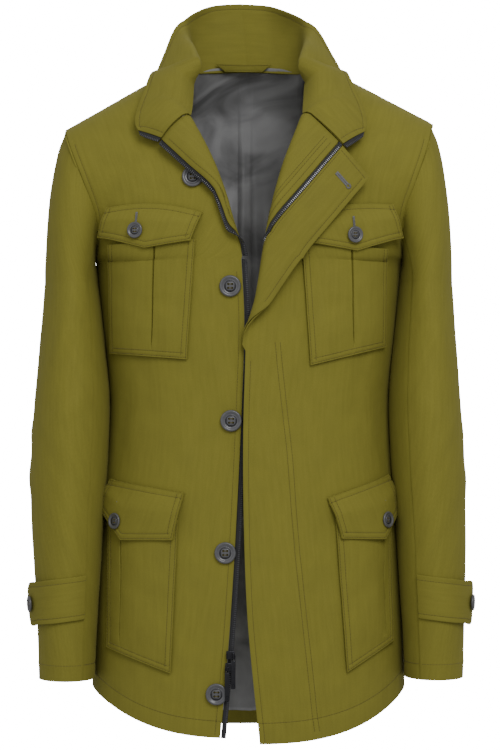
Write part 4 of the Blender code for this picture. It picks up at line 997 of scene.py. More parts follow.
@dataclass
class Front:
    """One front: its shell with the turned-back upper edge, and every layer pressed to it."""
    body: BodyForm
    side: Side
    finishes: Finishes
    chest_steps: int = 52
    fine_steps: int = 11
    fine: float = 0.0055
    roll_steps: int = 8
    below: int = 118
    turned: int = 66
    above: int = 14

    def __post_init__(self) -> None:
        """Read the tables and lay out the grid."""
        table = TURNED[self.side]
        self.turn = {name: Curve(table, "share", name) for name in ("roll_x", "roll_z", "edge_x", "edge_z")}
        self.edge_x = Curve(FRONT_EDGE[self.side], "z", "x")
        self.chest = crowded(self.chest_steps, self.fine_steps, self.fine)
        self.turn_parts = crowded(20, 8, 0.022)[1:] if self.side is Side.LEFT else crowded(12, 6, 0.045)[1:]
        self.corner = len(self.chest) - 1
        self.tight = 0.0040 if self.side is Side.LEFT else 0.0012
        self.grid = self.lay_out()

    def roll_share(self, level: float) -> float:
        """Share of the turned part whose roll lies on a level, solved by halving."""
        low, high = 0.0, 1.0
        for _ in range(22):
            middle = 0.5 * (low + high)
            x, z = self.turn["roll_x"](middle), self.turn["roll_z"](middle)
            at = self.body.level(self.side, Face.FRONT, x, z)
            if at < level:
                low = middle
            else:
                high = middle
        return 0.5 * (low + high)

    def chest_line(self, level: float, inner: float) -> list[Vector]:
        """Points of one row from the side or armhole to an inner x."""
        reach = self.body.reach(self.side, Face.FRONT, level)
        across = spaced(level, inner, reach, self.chest)
        line = [self.body.point(self.side, Face.FRONT, level, x) for x in across]
        if level <= 1.0:
            line[0].y = min(line[0].y, -0.5 * SEAM)
        return line

    def turned_line(self, level: float) -> list[Vector]:
        """One row that goes over the roll and back to the turned edge."""
        side = self.side
        share = self.roll_share(level)
        roll_x, edge_x, edge_z = (self.turn[name](share) for name in ("roll_x", "edge_x", "edge_z"))
        radius = mix(self.tight, 0.0055, ease(share / 0.8))
        turned_by = math.pi * ease(share / TURN_SHARE)
        inner = roll_x + (radius + LAYERS) * turned_by / math.pi
        line = self.chest_line(level, inner)
        foot = line[-1]
        _, normal, _ = self.body.seat(side, Face.FRONT, inner, foot.z)
        ahead = (line[-1] - line[-2]).normalized()
        ahead = (ahead - normal * ahead.dot(normal)).normalized()
        for step in range(1, self.roll_steps + 1):
            angle = turned_by * step / self.roll_steps
            rise = normal * (1.0 - math.cos(angle)) + ahead * math.sin(angle)
            line.append(foot + rise * radius)
        lift_edge = mix(2.2 * radius, EDGE_LIFT[side], ease(1.6 * share))
        least = 0.0050 if side is Side.LEFT else 0.0016
        width = max(edge_x - inner, least)
        kept = min(1.0, width / max(edge_x - roll_x, least))
        edge_z = mix(foot.z, edge_z, kept)
        heading = normal * math.sin(turned_by) + ahead * math.cos(turned_by)
        end = line[-1]
        for part in self.turn_parts:
            x, z = inner + width * part, mix(foot.z, edge_z, part)
            bow = 0.004 * math.sin(math.pi * part) * share
            laid = self.body.off(side, x, z, mix(2.0 * radius, lift_edge, part) + bow)
            line.append(mix(end + heading * (width * part), laid, (turned_by / math.pi) ** 4))
        return line

    def lay_out(self) -> Cloth:
        """Every row from the hem to the shoulder seam, with the folds pressed in."""
        first, last = TURNED[self.side][0], TURNED[self.side][-1]
        low = self.body.level(self.side, Face.FRONT, first.roll_x, first.roll_z)
        high = self.body.level(self.side, Face.FRONT, last.roll_x, last.roll_z)
        below = [low * s for s in crowded(self.below, 8, 0.0028, at_start=True, at_end=False)]
        turned = spread(low, high, self.turned)[1:]
        above = spread(high, 2.0, self.above)[1:]
        extra = self.roll_steps + len(self.turn_parts)
        rows = []
        for level in below:
            z = mix(FRONT_HEM_Z[self.side], first.roll_z, level / low)
            line = self.chest_line(level, self.edge_x(z))
            rows.append(line + [line[-1]] * extra)
        self.breaks = len(rows) - 1
        rows += [self.turned_line(level) for level in turned]
        self.top = len(rows) - 1
        for level in above:
            part = (level - high) / (2.0 - high)
            inner = mix(last.roll_x + NECK_FOOT, NECK_HALF + NECK_EASE, part)
            inner += NECK_EASE * math.sin(math.pi * part)
            line = self.chest_line(min(level, 2.0), inner)
            rows.append(line + [line[-1]] * extra)
        grid = Cloth(np.array([[tuple(p) for p in line] for line in rows]),
                     Vector((self.side.value, -1.0, 0.0)))
        grid.press([self.fold(fold) for fold in FRONT_FOLDS[self.side]])
        grid.soften(0.00045, 0.055, 2.0 + self.side.value)
        return grid

    def fold(self, fold: Fold) -> Mark:
        """A fold's path on the front."""
        points = []
        for t in spread(0.0, 1.0, 14):
            x = mix(fold.start[0], fold.end[0], t) + fold.bow * math.sin(math.pi * t)
            points.append(self.body.off(self.side, x, mix(fold.start[1], fold.end[1], t), 0.0))
        return mark(points, fold.depth, fold.width, fades=True)

    def edge_path(self, distance: float, first: int, last: int) -> list[Vector]:
        """A path at a distance from the front edge, below the roll or on the turned part."""
        return self.grid.along_row(distance, True, slice(first, last))

    def seams(self) -> list[list[Vector]]:
        """Stitched lines on the shell's outer face."""
        low, top = self.breaks, self.top
        lines = [self.edge_path(0.0065, 2, low - 2)]
        lines.append(self.grid.along_column(0.0250 if self.side is Side.LEFT else 0.0200, False,
                                            slice(2, self.corner)))
        if self.side is Side.LEFT:
            lines += self.fly_lines()
        lines.append(self.grid.along_column(0.0060, True, slice(0, self.corner - 4)))
        lines.append(self.grid.along_row(0.0060, False, slice(self.level_row(1.02), top + 8)))
        return lines

    def level_row(self, level: float) -> int:
        """The row nearest a level, by its height at the side."""
        z = mix(SIDE_HEM_Z, ARMPIT_Z, level) if level <= 1.0 else mix(ARMPIT_Z, TIP_Z, level - 1.0)
        return int(np.abs(self.grid.points[:, 0, 2] - z).argmin())

    def fly_lines(self) -> list[list[Vector]]:
        """The double line that holds the button fly, down the wearer's left front."""
        spots = ((0.0265, -0.335), (0.0300, -0.370), (0.0360, -0.420), (0.0415, -0.470), (0.0455, -0.530),
                 (0.0500, -0.585), (0.0560, -0.640), (0.0640, -0.710), (0.0705, -0.775), (0.0735, -0.795))
        lines = []
        for shift in (0.0, 0.0060):
            path = []
            for x, z in spots:
                path.append(self.body.off(self.side, x + shift, z, 0.0))
            lines.append(path)
        path = [self.body.off(self.side, x, z, 0.0) for x, z in
                ((0.0180, -0.262), (0.0120, -0.278), (0.0085, -0.294))]
        lines.append(path)
        return lines

    def build(self) -> bpy.types.Object:
        """The shell."""
        seams = self.seams()
        self.grid.press([mark(path, SEWN_DEEP, SEWN_WIDE) for path in seams])
        self.grid.press([mark(self.edge_path(0.0005, 1, self.breaks), 0.0004, 0.0012)])

        def drop(j: int, k: int) -> bool:
            """Above the turned part there is no roll."""
            return k >= self.corner and j >= self.top
        word = self.side.word
        wall = Wall(f"front_{word}", (f"front_{word}",), "olive_cotton", SHELL, self.finishes.olive,
                    0.0004, drop, rests_on=("mount:wearer_shoulders",))
        piece = wall.make(self.grid)
        sew(f"front_stitches_{word}", self.grid, seams, self.finishes.thread, THREAD_LIFT, "olive_cotton")
        return piece

    def row_turn(self, j: int) -> float:
        """Length of a row's turned part."""
        return float(np.linalg.norm(np.diff(self.grid.points[j, self.corner:], axis=0), axis=1).sum())

    def strip(self, near: Sequence[float], far: Sequence[float], depth: float = UNDER,
              count: int = 46) -> Cloth:
        """A layer inside the shell between two cuts.

        Args:
            near: distance of the nearer cut from the free edge, on each row.
            far: distance of the farther cut.
            depth: how far inside the shell's outer face it lies.
            count: columns.

        Returns:
            The layer's grid.
        """
        normals = self.grid.normals()
        rows = []
        for j in range(self.top + 1):
            row = (self.grid.points[j] - normals[j] * depth)[::-1]
            run = np.concatenate([[0.0], np.cumsum(np.linalg.norm(np.diff(row, axis=0), axis=1))])
            at = np.linspace(near[j], min(far[j], run[-1]), count)
            rows.append([[np.interp(s, run, row[:, axis]) for axis in range(3)] for s in at])
        return Cloth(np.array(rows), Vector((self.side.value, -1.0, 0.0)))

    def layer(self, wall: Wall, cloth: Cloth, seams: Sequence[list[Vector]]) -> bpy.types.Object:
        """Build an inner layer and sew its lines on the side that shows when it is turned back."""
        cloth.press([mark(path, -SEWN_IN, SEWN_WIDE) for path in seams])
        piece = wall.make(cloth)
        sew(f"{wall.name}_stitches", cloth, seams, self.finishes.thread, -FACING - THREAD_LIFT,
            "olive_cotton_inner")
        return piece

    def build_facing(self) -> bpy.types.Object:
        """The facing, from inside the chest round the roll to the zip."""
        word = self.side.word
        back = PLACKET_WIDE + ZIP_BAND + SEAM if self.side is Side.LEFT else 0.0
        rows = range(self.top + 1)
        cloth = self.strip([back] * len(rows), [FACING_WIDE + self.row_turn(j) for j in rows])
        turned = slice(self.breaks + 14, self.top - 1)
        seams = [cloth.along_row(0.0065, False, turned)]
        if self.side is Side.LEFT:
            seams += [cloth.along_row(0.0130, False, slice(self.breaks + 22, self.top - 1)),
                      cloth.along_row(0.0170, False, slice(self.breaks + 26, self.top - 1))]
        wall = Wall(f"facing_{word}", (f"facing_{word}",), "olive_cotton_inner", FACING, self.finishes.inner,
                    0.0003, rests_on=(f"front_{word}",))
        return self.layer(wall, cloth, seams)

    def build_fly(self) -> bpy.types.Object:
        """The button fly, from the free edge in to the zip."""
        rows = range(self.top + 1)
        cloth = self.strip([0.0004] * len(rows), [PLACKET_WIDE] * len(rows))
        turned = slice(self.breaks + 8, self.top - 1)
        seams = [cloth.along_row(0.0060, False, turned), cloth.along_column(0.0060, True, slice(3, 44)),
                 cloth.along_row(0.0025, True, slice(self.breaks + 14, self.top - 1))]
        wall = Wall("fly_placket", ("fly_placket",), "olive_cotton_inner", FACING, self.finishes.inner,
                    0.0003, rests_on=("front_left",))
        return self.layer(wall, cloth, seams)


# ---- back and lining -------------------------------------------------------------------------
@dataclass
class Back:
    """Both back panels, the lining across them and the facing along the back hem."""
    body: BodyForm
    finishes: Finishes
    columns: int = 46
    rows_below: int = 130
    rows_yoke: int = 56
    grids: dict = field(default_factory=dict)

    def inner(self, level: float) -> float:
        """Inner x of a row: the centre seam, then round the neck."""
        share = level - 1.0
        if share <= BACK_NECK:
            return 0.5 * SEAM
        return (NECK_HALF + NECK_EASE) * math.sqrt((share - BACK_NECK) / (1.0 - BACK_NECK))

    def lay_out(self, side: Side) -> Cloth:
        """One back panel from the hem to the shoulder seam."""
        levels = crowded(self.rows_below, 8, 0.0028, at_start=True, at_end=False)
        levels += spread(1.0, 1.0 + BACK_NECK, self.rows_yoke)[1:] + spread(1.0 + BACK_NECK, 2.0, 14)[1:]
        rows = []
        for level in levels:
            reach = self.body.reach(side, Face.BACK, level)
            across = spaced(level, self.inner(level), reach, crowded(self.columns, 6, 0.0060))
            line = [self.body.point(side, Face.BACK, level, x) for x in across]
            if level <= 1.0:
                line[0].y = max(line[0].y, 0.5 * SEAM)
            rows.append([tuple(point) for point in line])
        grid = Cloth(np.array(rows), Vector((0.0, 1.0, 0.0)))
        grid.press([self.fold(side, fold) for fold in BACK_FOLDS])
        grid.soften(0.00045, 0.060, 7.0 + side.value)
        return grid

    def fold(self, side: Side, fold: Fold) -> Mark:
        """A fold's path on the back, a little different on each side."""
        points = []
        skew = 0.006 * side.value
        for t in spread(0.0, 1.0, 14):
            x = mix(fold.start[0], fold.end[0], t) + fold.bow * math.sin(math.pi * t)
            z = mix(fold.start[1], fold.end[1], t) + skew
            level = self.body.level(side, Face.BACK, x, z)
            points.append(self.body.point(side, Face.BACK, level, x))
        return mark(points, fold.depth * (1.0 + 0.2 * side.value), fold.width, fades=True)

    def build(self) -> None:
        """Both backs with their centre, hem and armhole stitching."""
        for side in Side:
            grid = self.lay_out(side)
            self.grids[side] = grid
            top = grid.points.shape[0] - 14
            seams = [grid.along_column(0.0230, False, slice(1, -1)),
                     grid.along_row(0.0060, True, slice(2, top)),
                     grid.along_row(0.0060, False, slice(self.rows_below + 10, top + 10)),
                     grid.along_column(0.0060, True, slice(0, self.columns))]
            grid.press([mark(path, SEWN_DEEP, SEWN_WIDE) for path in seams])
            word = side.word
            Wall(f"back_{word}", (f"back_{word}",), "olive_cotton", SHELL, self.finishes.olive, 0.0004,
                 rests_on=("mount:wearer_shoulders",)).make(grid)
            sew(f"back_stitches_{word}", grid, seams, self.finishes.thread, THREAD_LIFT, "olive_cotton")

    def joined(self) -> np.ndarray:
        """Both grids side by side, from the wearer's left side to the right."""
        left, right = self.grids[Side.LEFT].points, self.grids[Side.RIGHT].points
        middle = 0.5 * (left[:, -1:] + right[:, -1:])
        return np.concatenate([left[:, 1:-2], middle, right[:, 1:-2][:, ::-1]], axis=1)

    def neck_edge(self, x: float, collar: "Collar") -> Vector:
        """Where the lining's top meets the collar."""
        low, high = 0.0, COLLAR[3].share
        for _ in range(18):
            middle = 0.5 * (low + high)
            if collar.seam(middle).x < abs(x):
                low = middle
            else:
                high = middle
        seam = collar.seam(low)
        return Vector((x, seam.y - COLLAR_WALL, seam.z + mix(0.001, -0.003, ease((abs(x) - 0.040) / 0.020))))

    def build_lining(self, collar: "Collar") -> None:
        """Satin lining with its centre pleat and soft wrinkles."""
        joined = self.joined()
        base = Cloth(joined, Vector((0.0, 1.0, 0.0)))
        normals = base.normals()
        count, wide = joined.shape[:2]
        first = 9
        top = count - 15
        middle = np.linspace(-1.0, 1.0, wide)
        rows = []
        for j in range(first, top + 1):
            high = (j - first) / (top - first)
            fall = ease((1.0 - high) * 3.0)
            depth = UNDER + LINING_EASE + 0.0055 * np.exp(-((middle + 0.035) / 0.085) ** 2) * fall
            rows.append(joined[j] - normals[j] * depth[:, None])
        rows = np.array(rows)
        for k in range(wide):
            if abs(rows[-1, k, 0]) < NECK_HALF - 0.0015:
                goal = np.array(self.neck_edge(float(rows[-1, k, 0]), collar))
                for back in range(1, 12):
                    pull = ease(1.0 - (back - 1) / 11.0)
                    rows[-back, k] += (goal - rows[-1, k]) * pull if back > 1 else 0.0
                rows[-1, k] = goal
        cloth = Cloth(rows, Vector((0.0, 1.0, 0.0)))
        cloth.press([self.wrinkle(cloth, *row) for row in LINING_FOLDS])
        cloth.soften(0.0010, 0.034, 11.0)
        Wall("lining_back", ("lining_back",), "satin_lining", LINING, self.finishes.satin, 0.0,
             rests_on=("back_left", "back_right")).make(cloth)
        band = Cloth(base.layer(UNDER).points[0:11], Vector((0.0, 1.0, 0.0)))
        Wall("hem_facing_back", ("hem_facing_back",), "olive_cotton_inner", FACING, self.finishes.inner,
             0.0003, rests_on=("back_left", "back_right")).make(band)

    def wrinkle(self, cloth: Cloth, across: float, low: float, high: float, lean: float, depth: float,
                width: float) -> Mark:
        """A wrinkle that runs up the lining, by shares of its width and height."""
        count, wide = cloth.points.shape[:2]
        path = []
        for t in spread(low, high, 16):
            k = (across + lean * (t - low)) * (wide - 1)
            row = cloth.points[int(t * (count - 1))]
            base = max(0, min(int(k), wide - 2))
            path.append(Vector(mix(row[base], row[base + 1], k - base)))
        return mark(path, depth, width, fades=True)


LINING_FOLDS = (
    (0.535, 0.30, 0.99, 0.010, -0.0030, 0.0040),
    (0.520, 0.20, 0.98, 0.006, 0.0040, 0.0045),
    (0.600, 0.45, 0.97, -0.050, -0.0024, 0.0070),
    (0.640, 0.55, 0.96, -0.020, 0.0022, 0.0080),
    (0.440, 0.50, 0.98, 0.020, -0.0026, 0.0075),
    (0.400, 0.40, 0.90, 0.050, 0.0022, 0.0085),
    (0.700, 0.30, 0.85, -0.060, -0.0022, 0.0100),
    (0.330, 0.30, 0.88, 0.040, -0.0020, 0.0100),
    (0.480, 0.62, 0.80, -0.060, -0.0022, 0.0060),
    (0.560, 0.66, 0.84, 0.080, 0.0024, 0.0065),
    (0.470, 0.10, 0.40, 0.030, -0.0024, 0.0070),
    (0.550, 0.05, 0.35, -0.040, 0.0024, 0.0080),
)


def nearest_lift(points: np.ndarray, normals: np.ndarray, amount: float) -> Callable[[Vector], Vector]:
    """How far thread lies off a face, measured from the nearest grid point.

    Args:
        points: the face's grid.
        normals: its outward normals.
        amount: height of the thread's middle over the face.

    Returns:
        The lift for any point near the face.
    """
    flat = points.reshape(-1, 3)
    turns = normals.reshape(-1, 3)

    def lift(point: Vector) -> Vector:
        """Shift to the thread's middle at a point."""
        near = int(((flat - np.array(point)) ** 2).sum(axis=1).argmin())
        face, normal = Vector(flat[near]), Vector(turns[near])
        return normal * ((face - point).dot(normal) + amount)
    return lift


def sew(name: str, cloth: Cloth, seams: Sequence[Sequence[Vector]], thread: bpy.types.Material, amount: float,
        slot: str) -> None:
    """Sew lines on a grid's outer face as one piece."""
    sewn = Stitches(name, thread)
    lift = nearest_lift(cloth.points, cloth.normals(), amount)
    for path in seams:
        sewn.line(path, lift)
    sewn.make(slot)


# ---- sleeves ---------------------------------------------------------------------------------
class SleeveFold(NamedTuple):
    """A crease on a sleeve between two places: share down the sleeve and degrees round it."""
    start: tuple
    end: tuple
    depth: float
    width: float


SLEEVE_FOLDS = (
    SleeveFold((1.02, 100.0), (1.22, 60.0), 0.0022, 0.012),
    SleeveFold((0.60, 112.0), (1.10, 118.0), 0.0024, 0.012),
    SleeveFold((1.28, 118.0), (1.38, 40.0), 0.0020, 0.013),
    SleeveFold((1.36, 60.0), (1.50, 116.0), 0.0016, 0.012),
    SleeveFold((1.30, -60.0), (1.40, 10.0), 0.0022, 0.013),
    SleeveFold((1.44, -30.0), (1.54, 30.0), 0.0018, 0.013),
    SleeveFold((1.52, 90.0), (1.86, 84.0), 0.0013, 0.016),
    SleeveFold((0.30, 40.0), (1.10, 20.0), 0.0012, 0.018),
    SleeveFold((1.12, 70.0), (1.66, 50.0), -0.0014, 0.020),
    SleeveFold((1.70, -60.0), (1.90, -20.0), 0.0014, 0.014),
    SleeveFold((1.20, -100.0), (1.34, -60.0), 0.0020, 0.012),
)


@dataclass
class Sleeve:
    """A two-piece sleeve with its cuff tab."""
    body: BodyForm
    side: Side
    finishes: Finishes
    head_rows: int = 34
    arm_rows: int = 130

    def __post_init__(self) -> None:
        """Read the rings, lowest first."""
        rows = tuple(reversed(SLEEVE))
        self.ring_of = {name: Curve(rows, "z", name) for name in ("outer", "inner", "front", "back")}

    def armhole(self, angle: float) -> Vector:
        """Point of the armhole seam, angle from the shoulder tip forward round the arm."""
        share = 0.5 * (1.0 + math.cos(angle))
        front = math.sin(angle) >= 0.0
        face = Face.FRONT if front else Face.BACK
        deep = ARM_FRONT if front else ARM_BACK
        z = mix(ARMPIT_Z, TIP_Z + self.side.value * TIP_SKEW, share)
        return Vector((self.side.value * self.body.armhole[face](share), -deep * math.sin(angle), z))

    def ring(self, z: float, angle: float) -> Vector:
        """Point of a level ring."""
        outer, inner, front, back = (self.ring_of[name](z) for name in ("outer", "inner", "front", "back"))
        sway, taper = SLEEVE_NARROW[self.side]
        outer -= sway * ease((ARMPIT_Z - z) / 0.2) + taper * ease((-0.50 - z) / 0.16)
        x = 0.5 * (outer + inner) + 0.5 * (outer - inner) * math.cos(angle)
        return Vector((self.side.value * x, 0.5 * (front + back) - 0.5 * (back - front) * math.sin(angle), z))

    def point(self, share: float, angle: float) -> Vector:
        """Point of the sleeve: share 0..1 is the head, 1..2 runs from the biceps to the cuff."""
        if share >= 1.0:
            return self.ring(mix(SLEEVE[0].z, SLEEVE[-1].z, share - 1.0), angle)
        start, end = self.armhole(angle), self.ring(SLEEVE[0].z, angle)
        high = 0.5 * (1.0 + math.cos(angle))
        out = Vector((self.side.value * mix(0.10, 0.40, high), -0.35 * math.sin(angle), -1.0))
        length = (end - start).length
        t2, t3 = share * share, share ** 3
        first = out.normalized() * length * mix(0.8, 0.75, high)
        last = Vector((0.0, 0.0, -1.0)) * length * 1.1
        return (start * (2 * t3 - 3 * t2 + 1) + first * (t3 - 2 * t2 + share)
                + end * (3 * t2 - 2 * t3) + last * (t3 - t2))

    def lay_out(self, start: float, end: float, count: int, outward: Vector) -> Cloth:
        """A grid of one sleeve piece between two seams, in degrees."""
        shares = crowded(self.head_rows, 5, 0.012, at_start=True, at_end=False)
        shares += [1.0 + s for s in crowded(self.arm_rows, 8, 0.0030)[1:]]
        rows = []
        for share in shares:
            line = []
            for degrees in spread(start + 0.35, end - 0.35, count):
                angle = math.radians(degrees)
                point = self.point(share, angle)
                if share == 0.0:
                    point = point + (self.point(0.02, angle) - point).normalized() * 0.0007
                line.append(tuple(point))
            rows.append(line)
        grid = Cloth(np.array([self.tucked(start, end, count)] + rows), outward)
        grid.press([self.fold(fold) for fold in SLEEVE_FOLDS])
        grid.soften(0.00050, 0.050, 15.0 + self.side.value)
        self.keep_clear(grid)
        return grid

    def keep_clear(self, grid: Cloth) -> None:
        """Flatten the sleeve where it would press into the side of the body."""
        sign = self.side.value
        for spot in grid.points.reshape(-1, 3):
            x, y, z = (float(value) for value in spot)
            if z > ARMPIT_Z or z < SIDE_HEM_Z or sign * x > 0.200:
                continue
            face = Face.FRONT if y < 0.0 else Face.BACK
            level = (z - SIDE_HEM_Z) / (ARMPIT_Z - SIDE_HEM_Z)
            reach = self.body.reach(self.side, face, level)
            depth = self.body.deep[face](mix(self.body.hem(self.side, face), ARMPIT_Z, level))
            side_x = reach * max(0.0, 1.0 - (abs(y) / depth) ** SQUARE) ** (1.0 / SQUARE)
            spot[0] = sign * max(sign * x, side_x + CLEAR)

    def tucked(self, start: float, end: float, count: int) -> list[tuple]:
        """Seam allowance that runs on under the body panels."""
        line = []
        for degrees in spread(start + 0.35, end - 0.35, count):
            seam = self.armhole(math.radians(degrees))
            inside = Vector((self.side.value * 0.115, 0.0, mix(seam.z, ARMPIT_Z, 0.35)))
            line.append(tuple(seam + (inside - seam).normalized() * 0.0060))
        return line

    def fold(self, fold: SleeveFold) -> Mark:
        """A crease's path round the sleeve."""
        path = []
        for t in spread(0.0, 1.0, 16):
            share, degrees = mix(fold.start[0], fold.end[0], t), mix(fold.start[1], fold.end[1], t)
            path.append(self.point(share, math.radians(degrees)))
        return mark(path, fold.depth * (1.0 - 0.15 * self.side.value), fold.width, fades=True)

    def build(self) -> None:
        """Top sleeve and under sleeve."""
        word = self.side.word
        out = Vector((self.side.value, 0.0, 0.0))
        pieces = {"under": (SEAM_FRONT, SEAM_BACK, 34, -out), "top": (SEAM_BACK - 360.0, SEAM_FRONT, 78, out)}
        for name, (start, end, count, outward) in pieces.items():
            grid = self.lay_out(start, end, count, outward)
            seams = [grid.along_column(0.0190, True, slice(1, -1))]
            ditches = [grid.along_row(0.0008, from_end, slice(4, None)) for from_end in (False, True)]
            if name == "top":
                swell = grid.along_column(0.0140, False, slice(10, 68))
                grid.press([mark(swell, -0.0016, 0.0110, fades=True)])
            grid.press([mark(path, SEWN_IN, SEWN_WIDE) for path in seams])
            grid.press([mark(path, 0.0008, 0.0016) for path in ditches])
            node = f"sleeve_{name}_{word}"
            Wall(node, (node,), "olive_cotton", SHELL, self.finishes.olive, 0.0004,
                 rests_on=(f"front_{word}", f"back_{word}")).make(grid)
            sew(f"sleeve_{name}_stitches_{word}", grid, seams, self.finishes.thread, THREAD_LIFT,
                "olive_cotton")

    def seat(self, z: float, degrees: float, lift: float) -> tuple[Vector, Vector]:
        """Point held off the sleeve, with its outward normal."""
        angle = math.radians(degrees)
        point = self.ring(z, angle)
        across = self.ring(z, angle + 0.02) - self.ring(z, angle - 0.02)
        along = self.ring(z + 0.002, angle) - self.ring(z - 0.002, angle)
        normal = across.cross(along).normalized()
        centre = 0.5 * (self.ring(z, 0.0) + self.ring(z, math.pi))
        if normal.dot(point - centre) < 0.0:
            normal.negate()
        return point + normal * lift, normal

    def build_tab(self) -> None:
        """Pointed tab from the front seam round to the outer side."""
        table = {name: Curve(CUFF_TAB, "share", name) for name in ("degrees", "z_top", "z_low", "lift")}
        rows = []
        for share in crowded(56, 8, 0.011):
            top, low, lift = table["z_top"](share), table["z_low"](share), table["lift"](share)
            rows.append([tuple(self.seat(mix(low, top, v), table["degrees"](share), lift)[0])
                         for v in crowded(20, 6, 0.035, at_start=True)])
        grid = Cloth(np.array(rows), Vector((self.side.value, -1.0, 0.0)))
        last = len(rows) - 1
        seams = [grid.along_row(0.0060, from_end, slice(0, last - 6)) for from_end in (False, True)]
        seams.append(grid.along_column(0.0060, True, slice(7, -7)))
        grid.press([mark(path, SEWN_IN, SEWN_WIDE) for path in seams])
        grid.soften(0.0004, 0.03, 21.0)
        word = self.side.word
        Wall(f"cuff_tab_{word}", (f"cuff_tab_{word}",), "olive_cotton", FLAP_THICK, self.finishes.olive,
             0.0006, rests_on=(f"sleeve_top_{word}",)).make(grid)
        sew(f"cuff_tab_stitches_{word}", grid, seams, self.finishes.thread, THREAD_LIFT, "olive_cotton")


class TabRow(NamedTuple):
    """A cuff tab along its length: degrees round the sleeve, its two edges and how far it stands off."""
    share: float
    degrees: float
    z_top: float
    z_low: float
    lift: float


CUFF_TAB = (
    TabRow(0.00, 123.0, -0.6120, -0.6640, 0.0030),
    TabRow(0.25, 96.0, -0.6140, -0.6660, 0.0034),
    TabRow(0.50, 66.0, -0.6170, -0.6690, 0.0040),
    TabRow(0.75, 36.0, -0.6205, -0.6715, 0.0055),
    TabRow(0.92, 14.0, -0.6230, -0.6735, 0.0085),
    TabRow(1.00, 3.0, -0.6330, -0.6610, 0.0100),
)


# ---- collar ----------------------------------------------------------------------------------
@dataclass
class Collar:
    """Stand collar whose front ends fold out over the shoulders."""
    body: BodyForm
    fronts: dict
    finishes: Finishes
    steps: int = 22

    def __post_init__(self) -> None:
        """Read the tables."""
        self.curves = {name: Curve(COLLAR, "share", name) for name in ("seam", "middle", "edge")}
        self.corner = {name: Curve(COLLAR_CORNER, "share", name) for name in ("x", "z", "lift", "hump")}

    def seam(self, share: float) -> Vector:
        """The neck seam at a share round the collar."""
        return self.curves["seam"](share)

    def section(self, side: Side, share: float) -> list[Vector]:
        """One section of the collar, seam to free edge."""
        sign = side.value
        stations = crowded(self.steps, 7, 0.017)
        last = COLLAR[-1].share
        points = []
        if share <= last:
            seam, middle, edge = (self.curves[name](share) for name in ("seam", "middle", "edge"))
            lean = COLLAR_LEAN * ease((last - share) / last)
            for t in stations:
                bent = 2.0 * middle - 0.5 * (seam + edge)
                point = seam * (1 - t) ** 2 + bent * (2 * t * (1 - t)) + edge * t * t
                points.append(Vector((sign * point.x + lean * t, point.y, point.z)))
            return self.allowance(points, mix(0.0060, 0.0003, ease((share - 0.50) / 0.15)))
        part = (share - last) / (1.0 - last)
        front = self.fronts[side]
        row = front.grid.points[front.top][::-1]
        run = np.concatenate([[0.0], np.cumsum(np.linalg.norm(np.diff(row, axis=0), axis=1))])
        zip_at = PLACKET_WIDE if side is Side.LEFT else 0.0
        foot = front.row_turn(front.top) - 0.0066
        at = mix(foot, zip_at, max(0.0, part - 0.35) / 0.65)
        seam = Vector([float(np.interp(at, run, row[:, axis])) for axis in range(3)])
        start = Vector(COLLAR[-1].seam)
        start.x *= sign
        if part < 0.35:
            seam = mix(start, seam, part / 0.35)
        rise = ease((part - 0.25) / 0.2)
        seam = seam + Vector((sign * 0.0020, 0.0, 0.0032)) * rise
        edge = self.body.off(side, self.corner["x"](part), self.corner["z"](part), self.corner["lift"](part))
        for t in stations:
            hump = self.corner["hump"](part) * math.sin(math.pi * t)
            points.append(mix(seam, edge, t) + Vector((-sign * 0.35, -0.75, 0.55)).normalized() * hump)
        return self.allowance(points, 0.0003)

    def allowance(self, points: list[Vector], amount: float) -> list[Vector]:
        """Add the seam allowance that runs on below the neck seam."""
        return [points[0] + (points[0] - points[1]).normalized() * amount] + points

    def build(self) -> None:
        """Outer and inner collar, each one band right round the neck."""
        shares = spread(0.0, COLLAR[-1].share, 62)
        shares += [mix(COLLAR[-1].share, 1.0, s) for s in crowded(22, 6, 0.02)[1:]]
        rows = [self.section(Side.RIGHT, share) for share in reversed(shares)]
        rows += [self.section(Side.LEFT, share) for share in shares[1:]]
        grid = Cloth(np.array([[tuple(p) for p in line] for line in rows]), Vector((0.0, 0.3, -1.0)))
        normals = grid.normals()
        if normals[len(rows) // 2, 4, 1] < 0.0:
            normals = -normals
        grid.points = grid.points + normals * self.ripple(rows)
        outer = Wall("collar_outer", ("collar_outer",), "olive_cotton", SHELL, self.finishes.olive, 0.0004,
                     rests_on=("back_left", "back_right"))
        outer.make(grid)
        inner = Cloth(grid.points - normals * UNDER, grid.outward)
        seams = [inner.along_row(0.0065, True, slice(3, -3)),
                 inner.along_column(0.0065, False, slice(2, -5)),
                 inner.along_column(0.0065, True, slice(2, -5))]
        inner.points = inner.points + normals * groove(inner, seams)
        Wall("collar_inner", ("collar_inner",), "olive_cotton_inner", FACING, self.finishes.inner, 0.0004,
             rests_on=("collar_outer",)).make(inner)
        sewn = Stitches("collar_stitches", self.finishes.thread)
        lift = nearest_lift(inner.points - normals * FACING, normals, -THREAD_LIFT)
        for path in seams:
            sewn.line(path, lift)
        sewn.make("olive_cotton_inner")

    def ripple(self, rows: list) -> np.ndarray:
        """Slight waviness of the collar cloth."""
        shift = Vector((5.0, 1.0, 2.0))
        values = [[0.0009 * noise.noise(point / 0.045 + shift) for point in line] for line in rows]
        return np.array(values)[..., None]


